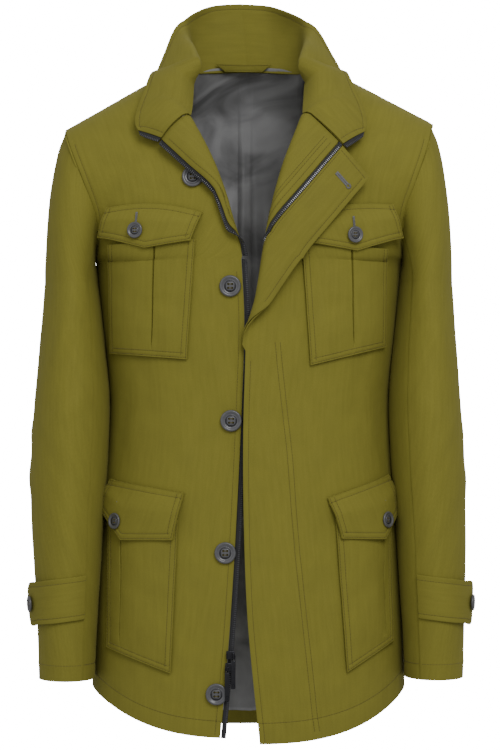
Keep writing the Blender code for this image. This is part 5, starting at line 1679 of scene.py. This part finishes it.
def groove(cloth: Cloth, seams: Sequence[Sequence[Vector]]) -> np.ndarray:
    """How far stitched lines draw the cloth in, as a column of amounts."""
    flat = cloth.points.reshape(-1, 3)
    total = np.zeros(len(flat))
    for path in seams:
        line = np.array([tuple(p) for p in even_path(path, 0.0006)])
        for part in np.array_split(np.arange(len(flat)), 8):
            gaps = ((flat[part][:, None, :] - line[None, :, :]) ** 2).sum(axis=2).min(axis=1)
            total[part] = np.maximum(total[part], np.exp(-gaps / SEWN_WIDE ** 2))
    return SEWN_IN * total.reshape(cloth.points.shape[:2])[..., None]


# ---- pockets and flaps -----------------------------------------------------------------------
class PocketShape(NamedTuple):
    """Corners of a patch pocket's bag and where its inverted pleat runs, counted from the outer side."""
    top_outer: tuple
    top_inner: tuple
    low_outer: tuple
    low_inner: tuple
    pleat: float


POCKETS = {
    "chest_pocket_right": PocketShape((0.1690, -0.2185), (0.0674, -0.2138), (0.1660, -0.3480),
                                      (0.0769, -0.3552), 0.54),
    "chest_pocket_left": PocketShape((0.1620, -0.2225), (0.0580, -0.2185), (0.1600, -0.3400),
                                     (0.0680, -0.3622), 0.43),
    "hip_pocket_right": PocketShape((0.1680, -0.5450), (0.0870, -0.5450), (0.1700, -0.7000),
                                    (0.0957, -0.7262), 0.20),
    "hip_pocket_left": PocketShape((0.1670, -0.5450), (0.0980, -0.5450), (0.1690, -0.6930),
                                   (0.1116, -0.7262), 0.16),
}
BAG_LIFT = 0.0042
BAG_PUFF = 0.0022


class FlapShape(NamedTuple):
    """Corners of a pocket flap, the turn of its lower edge and the arch of its seam."""
    top_outer: tuple
    top_inner: tuple
    low_outer: tuple
    low_inner: tuple
    point: tuple
    arch: float


FLAPS = {
    "chest_flap_right": FlapShape((0.1720, -0.1745), (0.0592, -0.1820), (0.1760, -0.2090),
                                  (0.0722, -0.2150), (0.50, -0.2225), 0.007),
    "chest_flap_left": FlapShape((0.1690, -0.1695), (0.0560, -0.1820), (0.1750, -0.2090),
                                 (0.0690, -0.2180), (0.50, -0.2250), 0.004),
    "hip_flap_right": FlapShape((0.1660, -0.5000), (0.0804, -0.5142), (0.1710, -0.5360),
                                (0.0922, -0.5690), (0.28, -0.5710), 0.0),
    "hip_flap_left": FlapShape((0.1650, -0.4950), (0.0892, -0.5200), (0.1700, -0.5400),
                               (0.1040, -0.5680), (0.25, -0.5710), 0.0),
}
FLAP_LIFT = 0.0106
FLAP_TOP_LIFT = 0.0046
FLAP_THICK = 0.0022


def side_of(name: str) -> Side:
    """The wearer's side a piece name ends with."""
    return Side.LEFT if name.endswith("left") else Side.RIGHT


@dataclass
class Pocket:
    """A patch pocket with an inverted pleat and a buttoned flap over its mouth."""
    body: BodyForm
    name: str
    finishes: Finishes

    def build(self) -> None:
        """The bag, then its flap."""
        self.build_bag(POCKETS[self.name])
        flap = self.name.replace("pocket", "flap")
        self.build_flap(flap, FLAPS[flap])

    def build_bag(self, shape: PocketShape) -> None:
        """The bag with the folded slit of its pleat."""
        side = side_of(self.name)
        slit = [shape.pleat + 0.0026 * step for step in range(-8, 9)]
        edges = crowded(10, 8, 0.008, at_start=True, at_end=True)
        shares = sorted([u for u in edges if abs(u - shape.pleat) > 0.026] + slit)
        rows, folded = [], []
        for v in crowded(52, 8, 0.0058, at_start=True, at_end=False):
            line = []
            open_by = ease(v * 7.0 - 0.35)
            half = mix(0.0045, 0.0105, v)
            folded.append([0.0036 * math.exp(-((u - shape.pleat) / half) ** 4) * open_by for u in shares])
            for u in shares:
                low = mix(Vector(shape.low_outer), Vector(shape.low_inner), u)
                x, z = mix(low, mix(Vector(shape.top_outer), Vector(shape.top_inner), u), v)
                puff = BAG_PUFF * min(1.0, 5.0 * min(u, 1.0 - u)) * min(1.0, 4.0 * v)
                valley = 0.0012 * math.exp(-((u - shape.pleat) / 0.10) ** 2) * open_by
                line.append(tuple(self.body.off(side, x, z, BAG_LIFT + puff - valley)))
            rows.append(line)
        grid = Cloth(np.array(rows), Vector((0.0, -1.0, 0.0)))
        seams = []
        for distance, first in ((0.0016, 1), (0.0072, 5)):
            seams += [grid.along_row(distance, from_end, slice(first, None)) for from_end in (False, True)]
            seams.append(grid.along_column(distance, False, slice(max(first, 2), -max(first, 2))))
        grid.press([mark(path, SEWN_IN, SEWN_WIDE) for path in seams])
        grid.press([self.drape(grid, *row) for row in BAG_FOLDS])
        grid.soften(0.0006, 0.040, 31.0 + len(self.name) * side.value)
        grid.points = grid.points - grid.normals() * np.array(folded)[..., None]
        Wall(self.name, (self.name,), "olive_cotton", SHELL, self.finishes.olive, 0.0004,
             rests_on=(f"front_{side.word}",)).make(grid)
        sew(f"{self.name}_stitches", grid, seams, self.finishes.thread, THREAD_LIFT, "olive_cotton")

    def drape(self, grid: Cloth, start: tuple, end: tuple, depth: float, width: float) -> Mark:
        """A soft fold across a bag, by shares across and up it."""
        rows, columns = grid.points.shape[:2]
        path = []
        for t in spread(0.0, 1.0, 12):
            u, v = mix(start[0], end[0], t), mix(start[1], end[1], t)
            path.append(Vector(grid.points[int(v * (rows - 1)), int(u * (columns - 1))]))
        return mark(path, depth, width, fades=True)

    def build_flap(self, name: str, shape: FlapShape) -> None:
        """A flap with edge and inner stitching."""
        side = side_of(name)
        turn = shape.point[0]
        shares = crowded(14, 8, 0.0080, at_start=True, at_end=False)
        shares = [u * turn for u in shares] + [turn + (1.0 - turn) * u
                                               for u in crowded(16, 8, 0.0130)[1:]]
        rows = []
        for v in crowded(26, 9, 0.020, at_start=True, at_end=True):
            line = []
            for u in shares:
                top, low = self.flap_line(shape, u)
                lift = mix(FLAP_LIFT, FLAP_TOP_LIFT, ease(v * 2.2 - 1.2))
                curl = 0.0012 * math.sin(5.0 * u + len(name)) * (1.0 - v)
                line.append(tuple(self.body.off(side, mix(low[0], top[0], v), mix(low[1], top[1], v),
                                                lift + curl)))
            rows.append(line)
        grid = Cloth(np.array(rows), Vector((0.0, -1.0, 0.0)))
        seams = []
        for distance, first in ((0.0016, 2), (0.0075, 6)):
            seams.append(grid.along_column(distance, False, slice(first, -first)))
            seams += [grid.along_row(distance, from_end, slice(first, -1)) for from_end in (False, True)]
        seams.append(grid.along_column(0.0060, True, slice(1, -1)))
        grid.press([mark(path, 0.0006, 0.0012) for path in seams])
        grid.press([mark(grid.along_column(0.0008, True, slice(1, -1)), 0.0006, 0.0012)])
        grid.soften(0.0005, 0.030, 41.0 + side.value * len(name))
        Wall(name, (name,), "olive_cotton", FLAP_THICK, self.finishes.olive, 0.0006,
             rests_on=(f"front_{side.word}", self.name)).make(grid)
        sew(f"{name}_stitches", grid, seams, self.finishes.thread, THREAD_LIFT, "olive_cotton")

    def flap_line(self, shape: FlapShape, u: float) -> tuple[tuple, tuple]:
        """Top and bottom of a flap at a share across it from the outer side."""
        x_top = mix(shape.top_outer[0], shape.top_inner[0], u)
        z_top = mix(shape.top_outer[1], shape.top_inner[1], u) + shape.arch * math.sin(math.pi * u)
        turn, z_turn = shape.point
        if u < turn:
            z_low = mix(shape.low_outer[1], z_turn, u / turn)
        else:
            z_low = mix(z_turn, shape.low_inner[1], (u - turn) / (1.0 - turn))
        return (x_top, z_top), (mix(shape.low_outer[0], shape.low_inner[0], u), z_low)


BAG_FOLDS = (
    ((0.15, 0.80), (0.45, 0.20), 0.0013, 0.012),
    ((0.85, 0.85), (0.70, 0.30), 0.0011, 0.012),
    ((0.30, 0.12), (0.75, 0.16), 0.0009, 0.010),
    ((0.62, 0.60), (0.92, 0.40), 0.0009, 0.011),
)


# ---- hanger loop -----------------------------------------------------------------------------
@dataclass
class HangerLoop:
    """Short cloth loop at the centre back of the neck."""
    finishes: Finishes
    top_z: float = 0.0140
    low_z: float = 0.0045
    half_top: float = 0.0350
    half_low: float = 0.0230

    def build(self) -> None:
        """The loop with a stitched line round it."""
        rows = []
        for v in crowded(10, 4, 0.05, at_start=True):
            half, z = mix(self.half_low, self.half_top, v), mix(self.low_z, self.top_z, v)
            line = []
            for u in spread(-1.0, 1.0, 48):
                x = half * u + 0.5 * COLLAR_LEAN
                line.append((x, 0.0665 - 0.0035 * math.cos(0.5 * math.pi * u) - 6.0 * x * x, z))
            rows.append(line)
        grid = Cloth(np.array(rows), Vector((0.0, -1.0, 0.0)))
        seams = [grid.along_column(0.0018, from_end, slice(2, -2)) for from_end in (False, True)]
        grid.press([mark(path, 0.0003, 0.0009) for path in seams])
        Wall("hanger_loop", ("hanger_loop",), "olive_cotton_inner", LOOP_WALL, self.finishes.inner, 0.0005,
             rests_on=("collar_inner",)).make(grid)
        sew("hanger_loop_stitches", grid, seams, self.finishes.thread, THREAD_LIFT, "olive_cotton_inner")


# ---- buttons ---------------------------------------------------------------------------------
class ButtonPlace(NamedTuple):
    """Where a button sits, how far off the form, and its radius."""
    name: str
    side: Side
    x: float
    z: float
    lift: float
    radius: float


BUTTONS = (
    ButtonPlace("front_button_1", Side.RIGHT, 0.0700, -0.1390, 0.0006, FRONT_BUTTON),
    ButtonPlace("front_button_2", Side.RIGHT, 0.0262, -0.2690, 0.0006, FRONT_BUTTON),
    ButtonPlace("front_button_3", Side.RIGHT, 0.0250, -0.4280, 0.0006, FRONT_BUTTON),
    ButtonPlace("front_button_4", Side.RIGHT, 0.0320, -0.5840, 0.0006, FRONT_BUTTON),
    ButtonPlace("front_button_5", Side.RIGHT, 0.0425, -0.7500, 0.0006, FRONT_BUTTON),
    ButtonPlace("chest_button_right", Side.RIGHT, 0.1335, -0.2030, 0.0114, FLAP_BUTTON),
    ButtonPlace("chest_button_left", Side.LEFT, 0.1180, -0.2080, 0.0114, FLAP_BUTTON),
    ButtonPlace("hip_button_right", Side.RIGHT, 0.1540, -0.5490, 0.0114, FLAP_BUTTON),
    ButtonPlace("hip_button_left", Side.LEFT, 0.1550, -0.5480, 0.0114, FLAP_BUTTON),
)


@dataclass
class Button:
    """A turned four-hole button with a raised rim, sewn through its holes."""
    name: str
    radius: float
    thick: float
    point: Vector
    normal: Vector
    up: Vector
    finishes: Finishes

    def frame(self) -> Matrix:
        """The button's place: its axis along the cloth's normal."""
        side = self.up.cross(self.normal).normalized()
        turned = Matrix((side, self.normal.cross(side), self.normal)).transposed()
        return Matrix.Translation(self.point) @ turned.to_4x4()

    def profile(self) -> list[tuple[float, float]]:
        """The turned outline from the hub out over the rim and back under."""
        r, t = self.radius, self.thick
        return [(0.52 * r, 0.56 * t), (0.60 * r, 0.58 * t), (0.68 * r, 0.66 * t), (0.75 * r, 0.84 * t),
                (0.81 * r, 0.96 * t), (0.87 * r, t), (0.93 * r, 0.95 * t), (0.98 * r, 0.78 * t),
                (r, 0.52 * t), (0.97 * r, 0.26 * t), (0.90 * r, 0.08 * t), (0.80 * r, 0.0), (0.52 * r, 0.0)]

    def build(self) -> None:
        """Rim by spinning, hub with four real holes, thread across them."""
        bm = bmesh.new()
        verts = [bm.verts.new((x, 0.0, z)) for x, z in self.profile()]
        edges = [bm.edges.new(pair) for pair in zip(verts, verts[1:])]
        bmesh.ops.spin(bm, geom=verts + edges, axis=(0, 0, 1), cent=(0, 0, 0), angle=math.tau, steps=64,
                       use_merge=True)
        hub = bmesh.ops.create_circle(bm, cap_ends=False, segments=64, radius=0.52 * self.radius)
        rims = [edge for edge in bm.edges if set(edge.verts) <= set(hub["verts"])]
        out = Vector((0.26 * self.radius, 0.0, 0.0))
        spots = [Matrix.Rotation(math.radians(45.0 + 90.0 * index), 4, "Z") @ out for index in range(4)]
        for spot in spots:
            hole = bmesh.ops.create_circle(bm, cap_ends=False, segments=16, radius=0.105 * self.radius,
                                           matrix=Matrix.Translation(spot))
            rims += [edge for edge in bm.edges if set(edge.verts) <= set(hole["verts"])]
        face = bmesh.ops.triangle_fill(bm, use_beauty=True, use_dissolve=False, edges=rims)
        flat = [item for item in face["geom"] if isinstance(item, bmesh.types.BMFace)]
        raised = bmesh.ops.extrude_face_region(bm, geom=flat)["geom"]
        tops = [item for item in raised if isinstance(item, bmesh.types.BMVert)]
        bmesh.ops.translate(bm, verts=tops, vec=(0.0, 0.0, 0.56 * self.thick))
        bmesh.ops.remove_doubles(bm, verts=bm.verts[:], dist=2e-5)
        bmesh.ops.recalc_face_normals(bm, faces=bm.faces[:])
        bmesh.ops.transform(bm, matrix=self.frame(), verts=bm.verts[:])
        mesh = mesh_of(bm, self.name)
        piece = place(f"{self.name}_turned", mesh, self.finishes.horn)
        mesh.set_sharp_from_angle(angle=math.radians(42.0))
        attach(piece, "jacket")
        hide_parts(self.name)
        self.sew_on(spots)
        LOG.info("%s: radius %.4f m", self.name, self.radius)

    def sew_on(self, spots: Sequence[Vector]) -> None:
        """Two bars of thread, down through the holes."""
        thread = Stitches(f"{self.name}_thread", self.finishes.thread)
        top = Vector((0.0, 0.0, 0.56 * self.thick + 0.0002))
        low = Vector((0.0, 0.0, 0.0003))
        seat = self.frame()
        for first, second in ((0, 1), (2, 3)):
            start, end = spots[first], spots[second]
            for shift in (-0.00022, 0.00022):
                aside = (start - end).cross(Vector((0.0, 0.0, 1.0))).normalized() * shift
                thread.stitch(seat @ (start + aside + top), seat @ (end + aside + top), 0.00028)
                thread.stitch(seat @ (start + aside + top), seat @ (start + aside + low), 0.00028)
                thread.stitch(seat @ (end + aside + top), seat @ (end + aside + low), 0.00028)
        thread.make("olive_cotton")


@dataclass
class Buttonhole:
    """A worked buttonhole: close bars of thread along both sides of a slit."""
    name: str
    start: Vector
    end: Vector
    normal: Vector
    keyhole: bool
    finishes: Finishes
    half: float = 0.0013

    def build(self) -> None:
        """Bars across the slit's sides and round its ends."""
        thread = Stitches(self.name, self.finishes.pale_thread)
        along = (self.end - self.start).normalized()
        across = along.cross(self.normal).normalized()
        lift = self.normal * 0.00030
        length = (self.end - self.start).length
        count = int(length / 0.00055)
        for index in range(count + 1):
            at = self.start + along * (length * index / count) + lift
            for way in (-1.0, 1.0):
                thread.stitch(at + across * (way * 0.00015), at + across * (way * self.half), 0.00028)
        eye = self.half * (1.5 if self.keyhole else 1.0)
        centre = self.end + along * (0.6 * eye if self.keyhole else 0.0) + lift
        for index in range(14):
            angle = math.radians(-120.0 + 240.0 * index / 13.0)
            ray = along * math.cos(angle) + across * math.sin(angle)
            thread.stitch(centre + ray * (0.35 * eye), centre + ray * eye, 0.00028)
        for index in range(5):
            at = self.start - along * (0.0002 + 0.0003 * index) + lift
            thread.stitch(at - across * self.half, at + across * self.half, 0.00026)
        thread.make("olive_cotton")


# ---- zip -------------------------------------------------------------------------------------
@dataclass
class ZipRun:
    """One run of zip: tape along an edge and a row of cast teeth at its outer side."""
    name: str
    nodes: tuple[str, ...]
    pairs: list
    finishes: Finishes
    wide: float = ZIP_BAND
    pitch: float = 0.0024

    def build(self) -> None:
        """Tape, then teeth; each pair is an inner point, the outer point and the normal."""
        rows = [[tuple(mix(inner, outer, s)) for s in spread(0.0, 1.0, 4)] for inner, outer, _ in self.pairs]
        middle = self.pairs[len(self.pairs) // 2][2]
        grid = Cloth(np.array(rows), middle)
        bm = cells(len(rows), 4)
        bm.verts.ensure_lookup_table()
        for j, row in enumerate(rows):
            for k, point in enumerate(row):
                bm.verts[j * 4 + k].co = point
        bmesh.ops.remove_doubles(bm, verts=bm.verts[:], dist=2e-5)
        face_out(bm, middle)
        mesh = mesh_of(bm, self.name)
        piece = place(f"{self.name}_woven", mesh, self.finishes.tape)
        wall = piece.modifiers.new("wall", "SOLIDIFY")
        wall.thickness = TAPE_WALL
        wall.offset = -1.0
        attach(piece, "jacket")
        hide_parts(*self.nodes)
        _, long, area = grid.cut()
        self.build_teeth()

    def build_teeth(self) -> None:
        """A row of small bevelled teeth."""
        bm = bmesh.new()
        edge = [mix(inner, outer, 0.74) for inner, outer, _ in self.pairs]
        inward = [(inner - outer).normalized() for inner, outer, _ in self.pairs]
        line = np.array([tuple(point) for point in edge])
        run = np.concatenate([[0.0], np.cumsum(np.linalg.norm(np.diff(line, axis=0), axis=1))])
        count = int(run[-1] / self.pitch)
        for index in range(count):
            s = (index + 0.5) * self.pitch
            near = int(np.searchsorted(run, s)) - 1
            near = max(0, min(near, len(edge) - 2))
            at = Vector([float(np.interp(s, run, line[:, axis])) for axis in range(3)])
            ahead = (edge[near + 1] - edge[near]).normalized()
            normal = self.pairs[near][2]
            out = -inward[near]
            out = (out - ahead * out.dot(ahead)).normalized()
            turned = Matrix((out, ahead, out.cross(ahead))).transposed().to_4x4()
            made = bmesh.ops.create_cube(bm, size=1.0)["verts"]
            bmesh.ops.scale(bm, verts=made, vec=(0.0028, 0.00125, 0.0021))
            bmesh.ops.transform(bm, verts=made, matrix=Matrix.Translation(at - normal * 0.0005) @ turned)
        bmesh.ops.recalc_face_normals(bm, faces=bm.faces[:])
        mesh = mesh_of(bm, f"{self.name}_teeth")
        piece = place(f"{self.name}_teeth", mesh, self.finishes.teeth, smooth=False)
        soft = piece.modifiers.new("cast_edge", "BEVEL")
        soft.width = 0.00022
        soft.segments = 1
        soft.limit_method = "NONE"
        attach(piece, "jacket")


def zip_runs(fronts: dict, collar: Collar, finishes: Finishes) -> list[ZipRun]:
    """Every run of the zip, on both fronts and up the collar's ends.

    Args:
        fronts: both built fronts by side.
        collar: the collar.
        finishes: the finishes.

    Returns:
        The runs, not yet built.
    """
    runs = []
    left, right = fronts[Side.LEFT], fronts[Side.RIGHT]
    for word, rows in (("upper", range(left.breaks + 6, left.top + 1)), ("lower", range(0, left.breaks))):
        inner = left.strip([PLACKET_WIDE + SEAM] * (left.top + 1), [PLACKET_WIDE + ZIP_BAND] * (left.top + 1),
                           UNDER, 3)
        turns = inner.normals()
        way = 1.0 if word == "lower" else -1.0
        lift = 0.0 if word == "lower" else ZIP_THICK
        pairs = []
        for j in rows:
            normal = Vector(turns[j, 1])
            shift = normal * -lift
            near, far = Vector(inner.points[j, 2]) + shift, Vector(inner.points[j, 0]) + shift
            pairs.append((near, far, normal * way))
        runs.append(ZipRun(f"zip_tape_left_{word}", (f"zip_tape_left_{word}",), pairs, finishes))
    turns = right.grid.normals()
    middle = 0.5 * (LAYERS - ZIP_THICK)
    spans = {"lower": (0, right.breaks + 1, right.corner, 1.0),
             "upper": (right.breaks + 1, right.top + 1, -1, -1.0)}
    for word, (first, last, column, way) in spans.items():
        pairs = []
        for j in range(first, last):
            row = right.grid.points[j]
            near = row[column - 1] if column > 0 else row[-2]
            ahead = Vector(row[column] - near).normalized()
            normal = Vector(turns[j, column])
            base = Vector(row[column]) - normal * (middle + (0.0 if way > 0.0 else ZIP_THICK)) + ahead * SEAM
            pairs.append((base, base + ahead * ZIP_BAND, normal * way))
        runs.append(ZipRun(f"zip_tape_right_{word}", (f"zip_tape_right_{word}",), pairs, finishes))
    for side in Side:
        last, near = collar.section(side, 1.0), collar.section(side, 0.94)
        pairs = []
        for index in range(1, len(last)):
            ahead = (last[index] - near[index]).normalized()
            normal = ahead.cross(last[index] - last[index - 1]).normalized()
            if normal.y < 0.0:
                normal.negate()
            base = last[index] - normal * (middle + ZIP_THICK) + ahead * SEAM
            pairs.append((base, base + ahead * ZIP_BAND, -normal))
        name = f"zip_tape_{side.word}_collar"
        runs.append(ZipRun(name, (name,), pairs, finishes))
    return runs


def box(bm: bmesh.types.BMesh, low: Sequence[float], high: Sequence[float], edge: float,
        segments: int = 3) -> list[bmesh.types.BMVert]:
    """A box between two corners with rounded edges."""
    fresh = bmesh.new()
    made = bmesh.ops.create_cube(fresh, size=1.0)["verts"]
    bmesh.ops.scale(fresh, verts=made, vec=Vector(high) - Vector(low))
    bmesh.ops.translate(fresh, verts=made, vec=(Vector(low) + Vector(high)) * 0.5)
    if edge > 0.0:
        bmesh.ops.bevel(fresh, geom=fresh.edges[:], offset=edge, segments=segments, affect="EDGES",
                        profile=0.5, material=-1)
    mesh = mesh_of(fresh, "loose_box")
    bm.from_mesh(mesh)
    bpy.data.meshes.remove(mesh)
    return bm.verts[:]


@dataclass
class Slider:
    """A zip slider with its arch, and the tab that hangs from it."""
    name: str
    tab_name: str
    box: tuple[Vector, Vector]
    tab_box: tuple[Vector, Vector]
    body: str
    finishes: Finishes

    def build(self) -> None:
        """Slider body, arch and pull tab."""
        low, high = self.box
        centre, size = 0.5 * (low + high), high - low
        back = high.y
        plate, face, half = SLIDER_PLATE, back - SLIDER_DEEP, 0.5 * ARCH_WIDE
        bm = bmesh.new()
        box(bm, (low.x, face, low.z + 0.0004), (high.x, face + plate, high.z), 0.0005)
        box(bm, (low.x, back - plate, low.z + 0.0004), (high.x, back, high.z), 0.0005)
        box(bm, (centre.x - 0.0012, face + plate - 0.0002, high.z - 0.0034),
            (centre.x + 0.0012, back - plate + 0.0002, high.z - 0.0004), 0.0003)
        for way in (-1.0, 1.0):
            edge_x = centre.x + way * (0.5 * size.x - 0.0007)
            box(bm, (edge_x - 0.0006, back - 0.0052, low.z + 0.0012),
                (edge_x + 0.0006, back - 0.0030, high.z - 0.0012), 0.0004)
        pivot_x = 0.5 * (self.tab_box[0].x + self.tab_box[1].x)
        pivot_z = self.tab_box[1].z - 0.5 * TAB_BAR
        front = low.y
        box(bm, (pivot_x - half, front, pivot_z - 0.0034),
            (pivot_x + half, front + TAB_BAR, pivot_z + 0.0034), 0.0004)
        for way in (-1.0, 1.0):
            z = pivot_z + way * 0.0028
            box(bm, (pivot_x - half, front + 0.0004, z - 0.0006), (pivot_x + half, face + 0.0004, z + 0.0006),
                0.0003)
        self.finish(bm, self.name, "jacket")
        self.build_tab(pivot_x, pivot_z)

    def finish(self, bm: bmesh.types.BMesh, name: str, body: str) -> None:
        """Make the metal piece."""
        bmesh.ops.recalc_face_normals(bm, faces=bm.faces[:])
        mesh = mesh_of(bm, name)
        piece = place(f"{name}_cast", mesh, self.finishes.metal)
        mesh.set_sharp_from_angle(angle=math.radians(50.0))
        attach(piece, body)
        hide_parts(name)
        LOG.info("%s on %s", name, body)

    def build_tab(self, x: float, z: float) -> None:
        """A flat tab with a window under its top bar and a round stud near its end."""
        low, high = self.tab_box
        y = 0.5 * (low.y + high.y)
        half, thick = 0.5 * (high.x - low.x), 0.5 * (high.y - low.y)
        bm = bmesh.new()
        box(bm, (x - half, y - thick, high.z - TAB_BAR), (x + half, y + thick, high.z), 0.0003)
        for way in (-1.0, 1.0):
            inner, outer = sorted((x + way * 0.0015, x + way * half))
            box(bm, (inner, y - thick, z - 0.0064), (outer, y + thick, high.z - 0.0003), 0.0003)
        box(bm, (x - half, y - thick, low.z), (x + half, y + thick, z - 0.0060), 0.0005)
        bmesh.ops.create_cone(bm, cap_ends=True, segments=28, radius1=0.0017, radius2=0.0013, depth=0.0006,
                              matrix=Matrix.Translation((x, y - thick - 0.0002, low.z + 0.0042))
                              @ Matrix.Rotation(math.radians(90.0), 4, "X"))
        self.finish(bm, self.tab_name, self.body)


# ---- stage, light and camera -----------------------------------------------------------------
class Lamp(NamedTuple):
    """A soft light: where it stands, how wide it is and its power."""
    name: str
    spot: tuple
    size: float
    watts: float


LAMPS = (
    Lamp("key", (0.6, -2.4, 1.3), 1.4, 38.0),
    Lamp("behind", (0.3, 2.6, 1.9), 1.2, 16.0),
    Lamp("fill", (-1.4, -2.4, 0.3), 1.6, 6.0),
)


@dataclass
class Studio:
    """White surroundings, soft light and the camera."""
    target: tuple[float, float, float] = (0.002, 0.0, -0.374)
    distance: float = 3.4
    azimuth: float = -2.15
    lens: float = 133.0
    surround: float = 0.42      # strength of the surroundings as light
    backdrop: float = 17.0      # strength as seen directly, a plain white

    def build(self) -> None:
        """World, lights and camera."""
        world = bpy.data.worlds.new("studio")
        bpy.context.scene.world = world
        world.use_nodes = True
        nodes, links = world.node_tree.nodes, world.node_tree.links
        seen = nodes.new("ShaderNodeLightPath").outputs["Is Camera Ray"]
        bright = nodes.new("ShaderNodeMapRange")
        bright.inputs["To Min"].default_value = self.surround
        bright.inputs["To Max"].default_value = self.backdrop
        links.new(seen, bright.inputs["Value"])
        nodes["Background"].inputs["Color"].default_value = (1.0, 1.0, 1.0, 1.0)
        links.new(bright.outputs["Result"], nodes["Background"].inputs["Strength"])
        for lamp in LAMPS:
            self.light(lamp)
        data = bpy.data.cameras.new("camera")
        data.sensor_fit = "VERTICAL"
        data.sensor_height = 36.0
        data.lens = self.lens
        data.clip_end = 40.0
        camera = bpy.data.objects.new("camera", data)
        turn = math.radians(self.azimuth)
        camera.location = Vector(self.target) + Vector((math.sin(turn), -math.cos(turn), 0.0)) * self.distance
        aim = Vector(self.target) - camera.location
        camera.rotation_euler = aim.to_track_quat("-Z", "Y").to_euler()
        bpy.context.scene.collection.objects.link(camera)
        bpy.context.scene.camera = camera

    def light(self, lamp: Lamp) -> None:
        """One soft area light aimed at the jacket's middle."""
        data = bpy.data.lights.new(lamp.name, "AREA")
        data.size = lamp.size
        data.energy = lamp.watts
        stand = bpy.data.objects.new(lamp.name, data)
        stand.location = lamp.spot
        aim = Vector(self.target) - Vector(lamp.spot)
        stand.rotation_euler = aim.to_track_quat("-Z", "Y").to_euler()
        bpy.context.scene.collection.objects.link(stand)


@dataclass
class Jacket:
    """The whole garment, built piece by piece."""
    finishes: Finishes = field(default_factory=Finishes)
    body: BodyForm = field(default_factory=BodyForm)

    def build(self) -> None:
        """Fronts, back, sleeves, collar, pockets, trim and hardware."""
        fronts = {side: Front(self.body, side, self.finishes) for side in Side}
        for front in fronts.values():
            front.build()
            front.build_facing()
        fronts[Side.LEFT].build_fly()
        collar = Collar(self.body, fronts, self.finishes)
        back = Back(self.body, self.finishes)
        back.build()
        back.build_lining(collar)
        collar.build()
        HangerLoop(self.finishes).build()
        sleeves = {side: Sleeve(self.body, side, self.finishes) for side in Side}
        for sleeve in sleeves.values():
            sleeve.build()
            sleeve.build_tab()
        for name in POCKETS:
            Pocket(self.body, name, self.finishes).build()
        for run in zip_runs(fronts, collar, self.finishes):
            run.build()
        self.build_buttons(sleeves)
        self.build_buttonholes(fronts)
        for word in ("upper", "lower"):
            slider, tab = f"zip_slider_{word}", f"pull_tab_{word}"
            Slider(slider, tab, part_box(slider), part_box(tab), f"pull_{word}", self.finishes).build()

    def build_buttons(self, sleeves: dict) -> None:
        """All eleven buttons."""
        for spot in BUTTONS:
            thick = FRONT_BUTTON_THICK if spot.radius == FRONT_BUTTON else FLAP_BUTTON_THICK
            point, normal, up = self.body.seat(spot.side, Face.FRONT, spot.x, spot.z)
            foot = point + normal * spot.lift
            Button(spot.name, spot.radius, thick, foot, normal, up, self.finishes).build()
        for side, sleeve in sleeves.items():
            point, normal = sleeve.seat(*CUFF_BUTTON_SEAT)
            Button(f"cuff_button_{side.word}", FLAP_BUTTON, FLAP_BUTTON_THICK, point, normal,
                   Vector((0.0, 0.0, 1.0)), self.finishes).build()

    def build_buttonholes(self, fronts: dict) -> None:
        """Worked buttonholes on the flaps, and the keyhole one on the turned fly."""
        for spot in BUTTONS[5:]:
            chest = spot.name.startswith("chest")
            high, low = (0.020, 0.006) if chest else (0.022, 0.0085)
            lift = FLAP_LIFT - 0.0002
            start = self.body.off(spot.side, spot.x - 0.001, spot.z + high, lift)
            end = self.body.off(spot.side, spot.x, spot.z + low, lift)
            _, normal, _ = self.body.seat(spot.side, Face.FRONT, spot.x, spot.z + high)
            name = spot.name.replace("button", "buttonhole")
            Buttonhole(name, start, end, normal, False, self.finishes).build()
        front = fronts[Side.LEFT]
        turns = front.grid.normals()
        row = front.top - 9
        places = [walk(front.grid.points[row][::-1], distance) for distance in (0.0330, 0.0150)]
        facing = Vector(turns[row, -12])
        shift = facing * -(LAYERS + 0.0002)
        Buttonhole("fly_buttonhole", Vector(places[0]) + shift, Vector(places[1]) + shift, -facing, True,
                   self.finishes, half=0.0024).build()


def main() -> None:
    """Build the jacket and its surroundings."""
    logging.basicConfig(level=logging.INFO, format="%(name)s: %(message)s")
    Jacket().build()
    Studio().build()


if __name__ == "__main__":
    main()
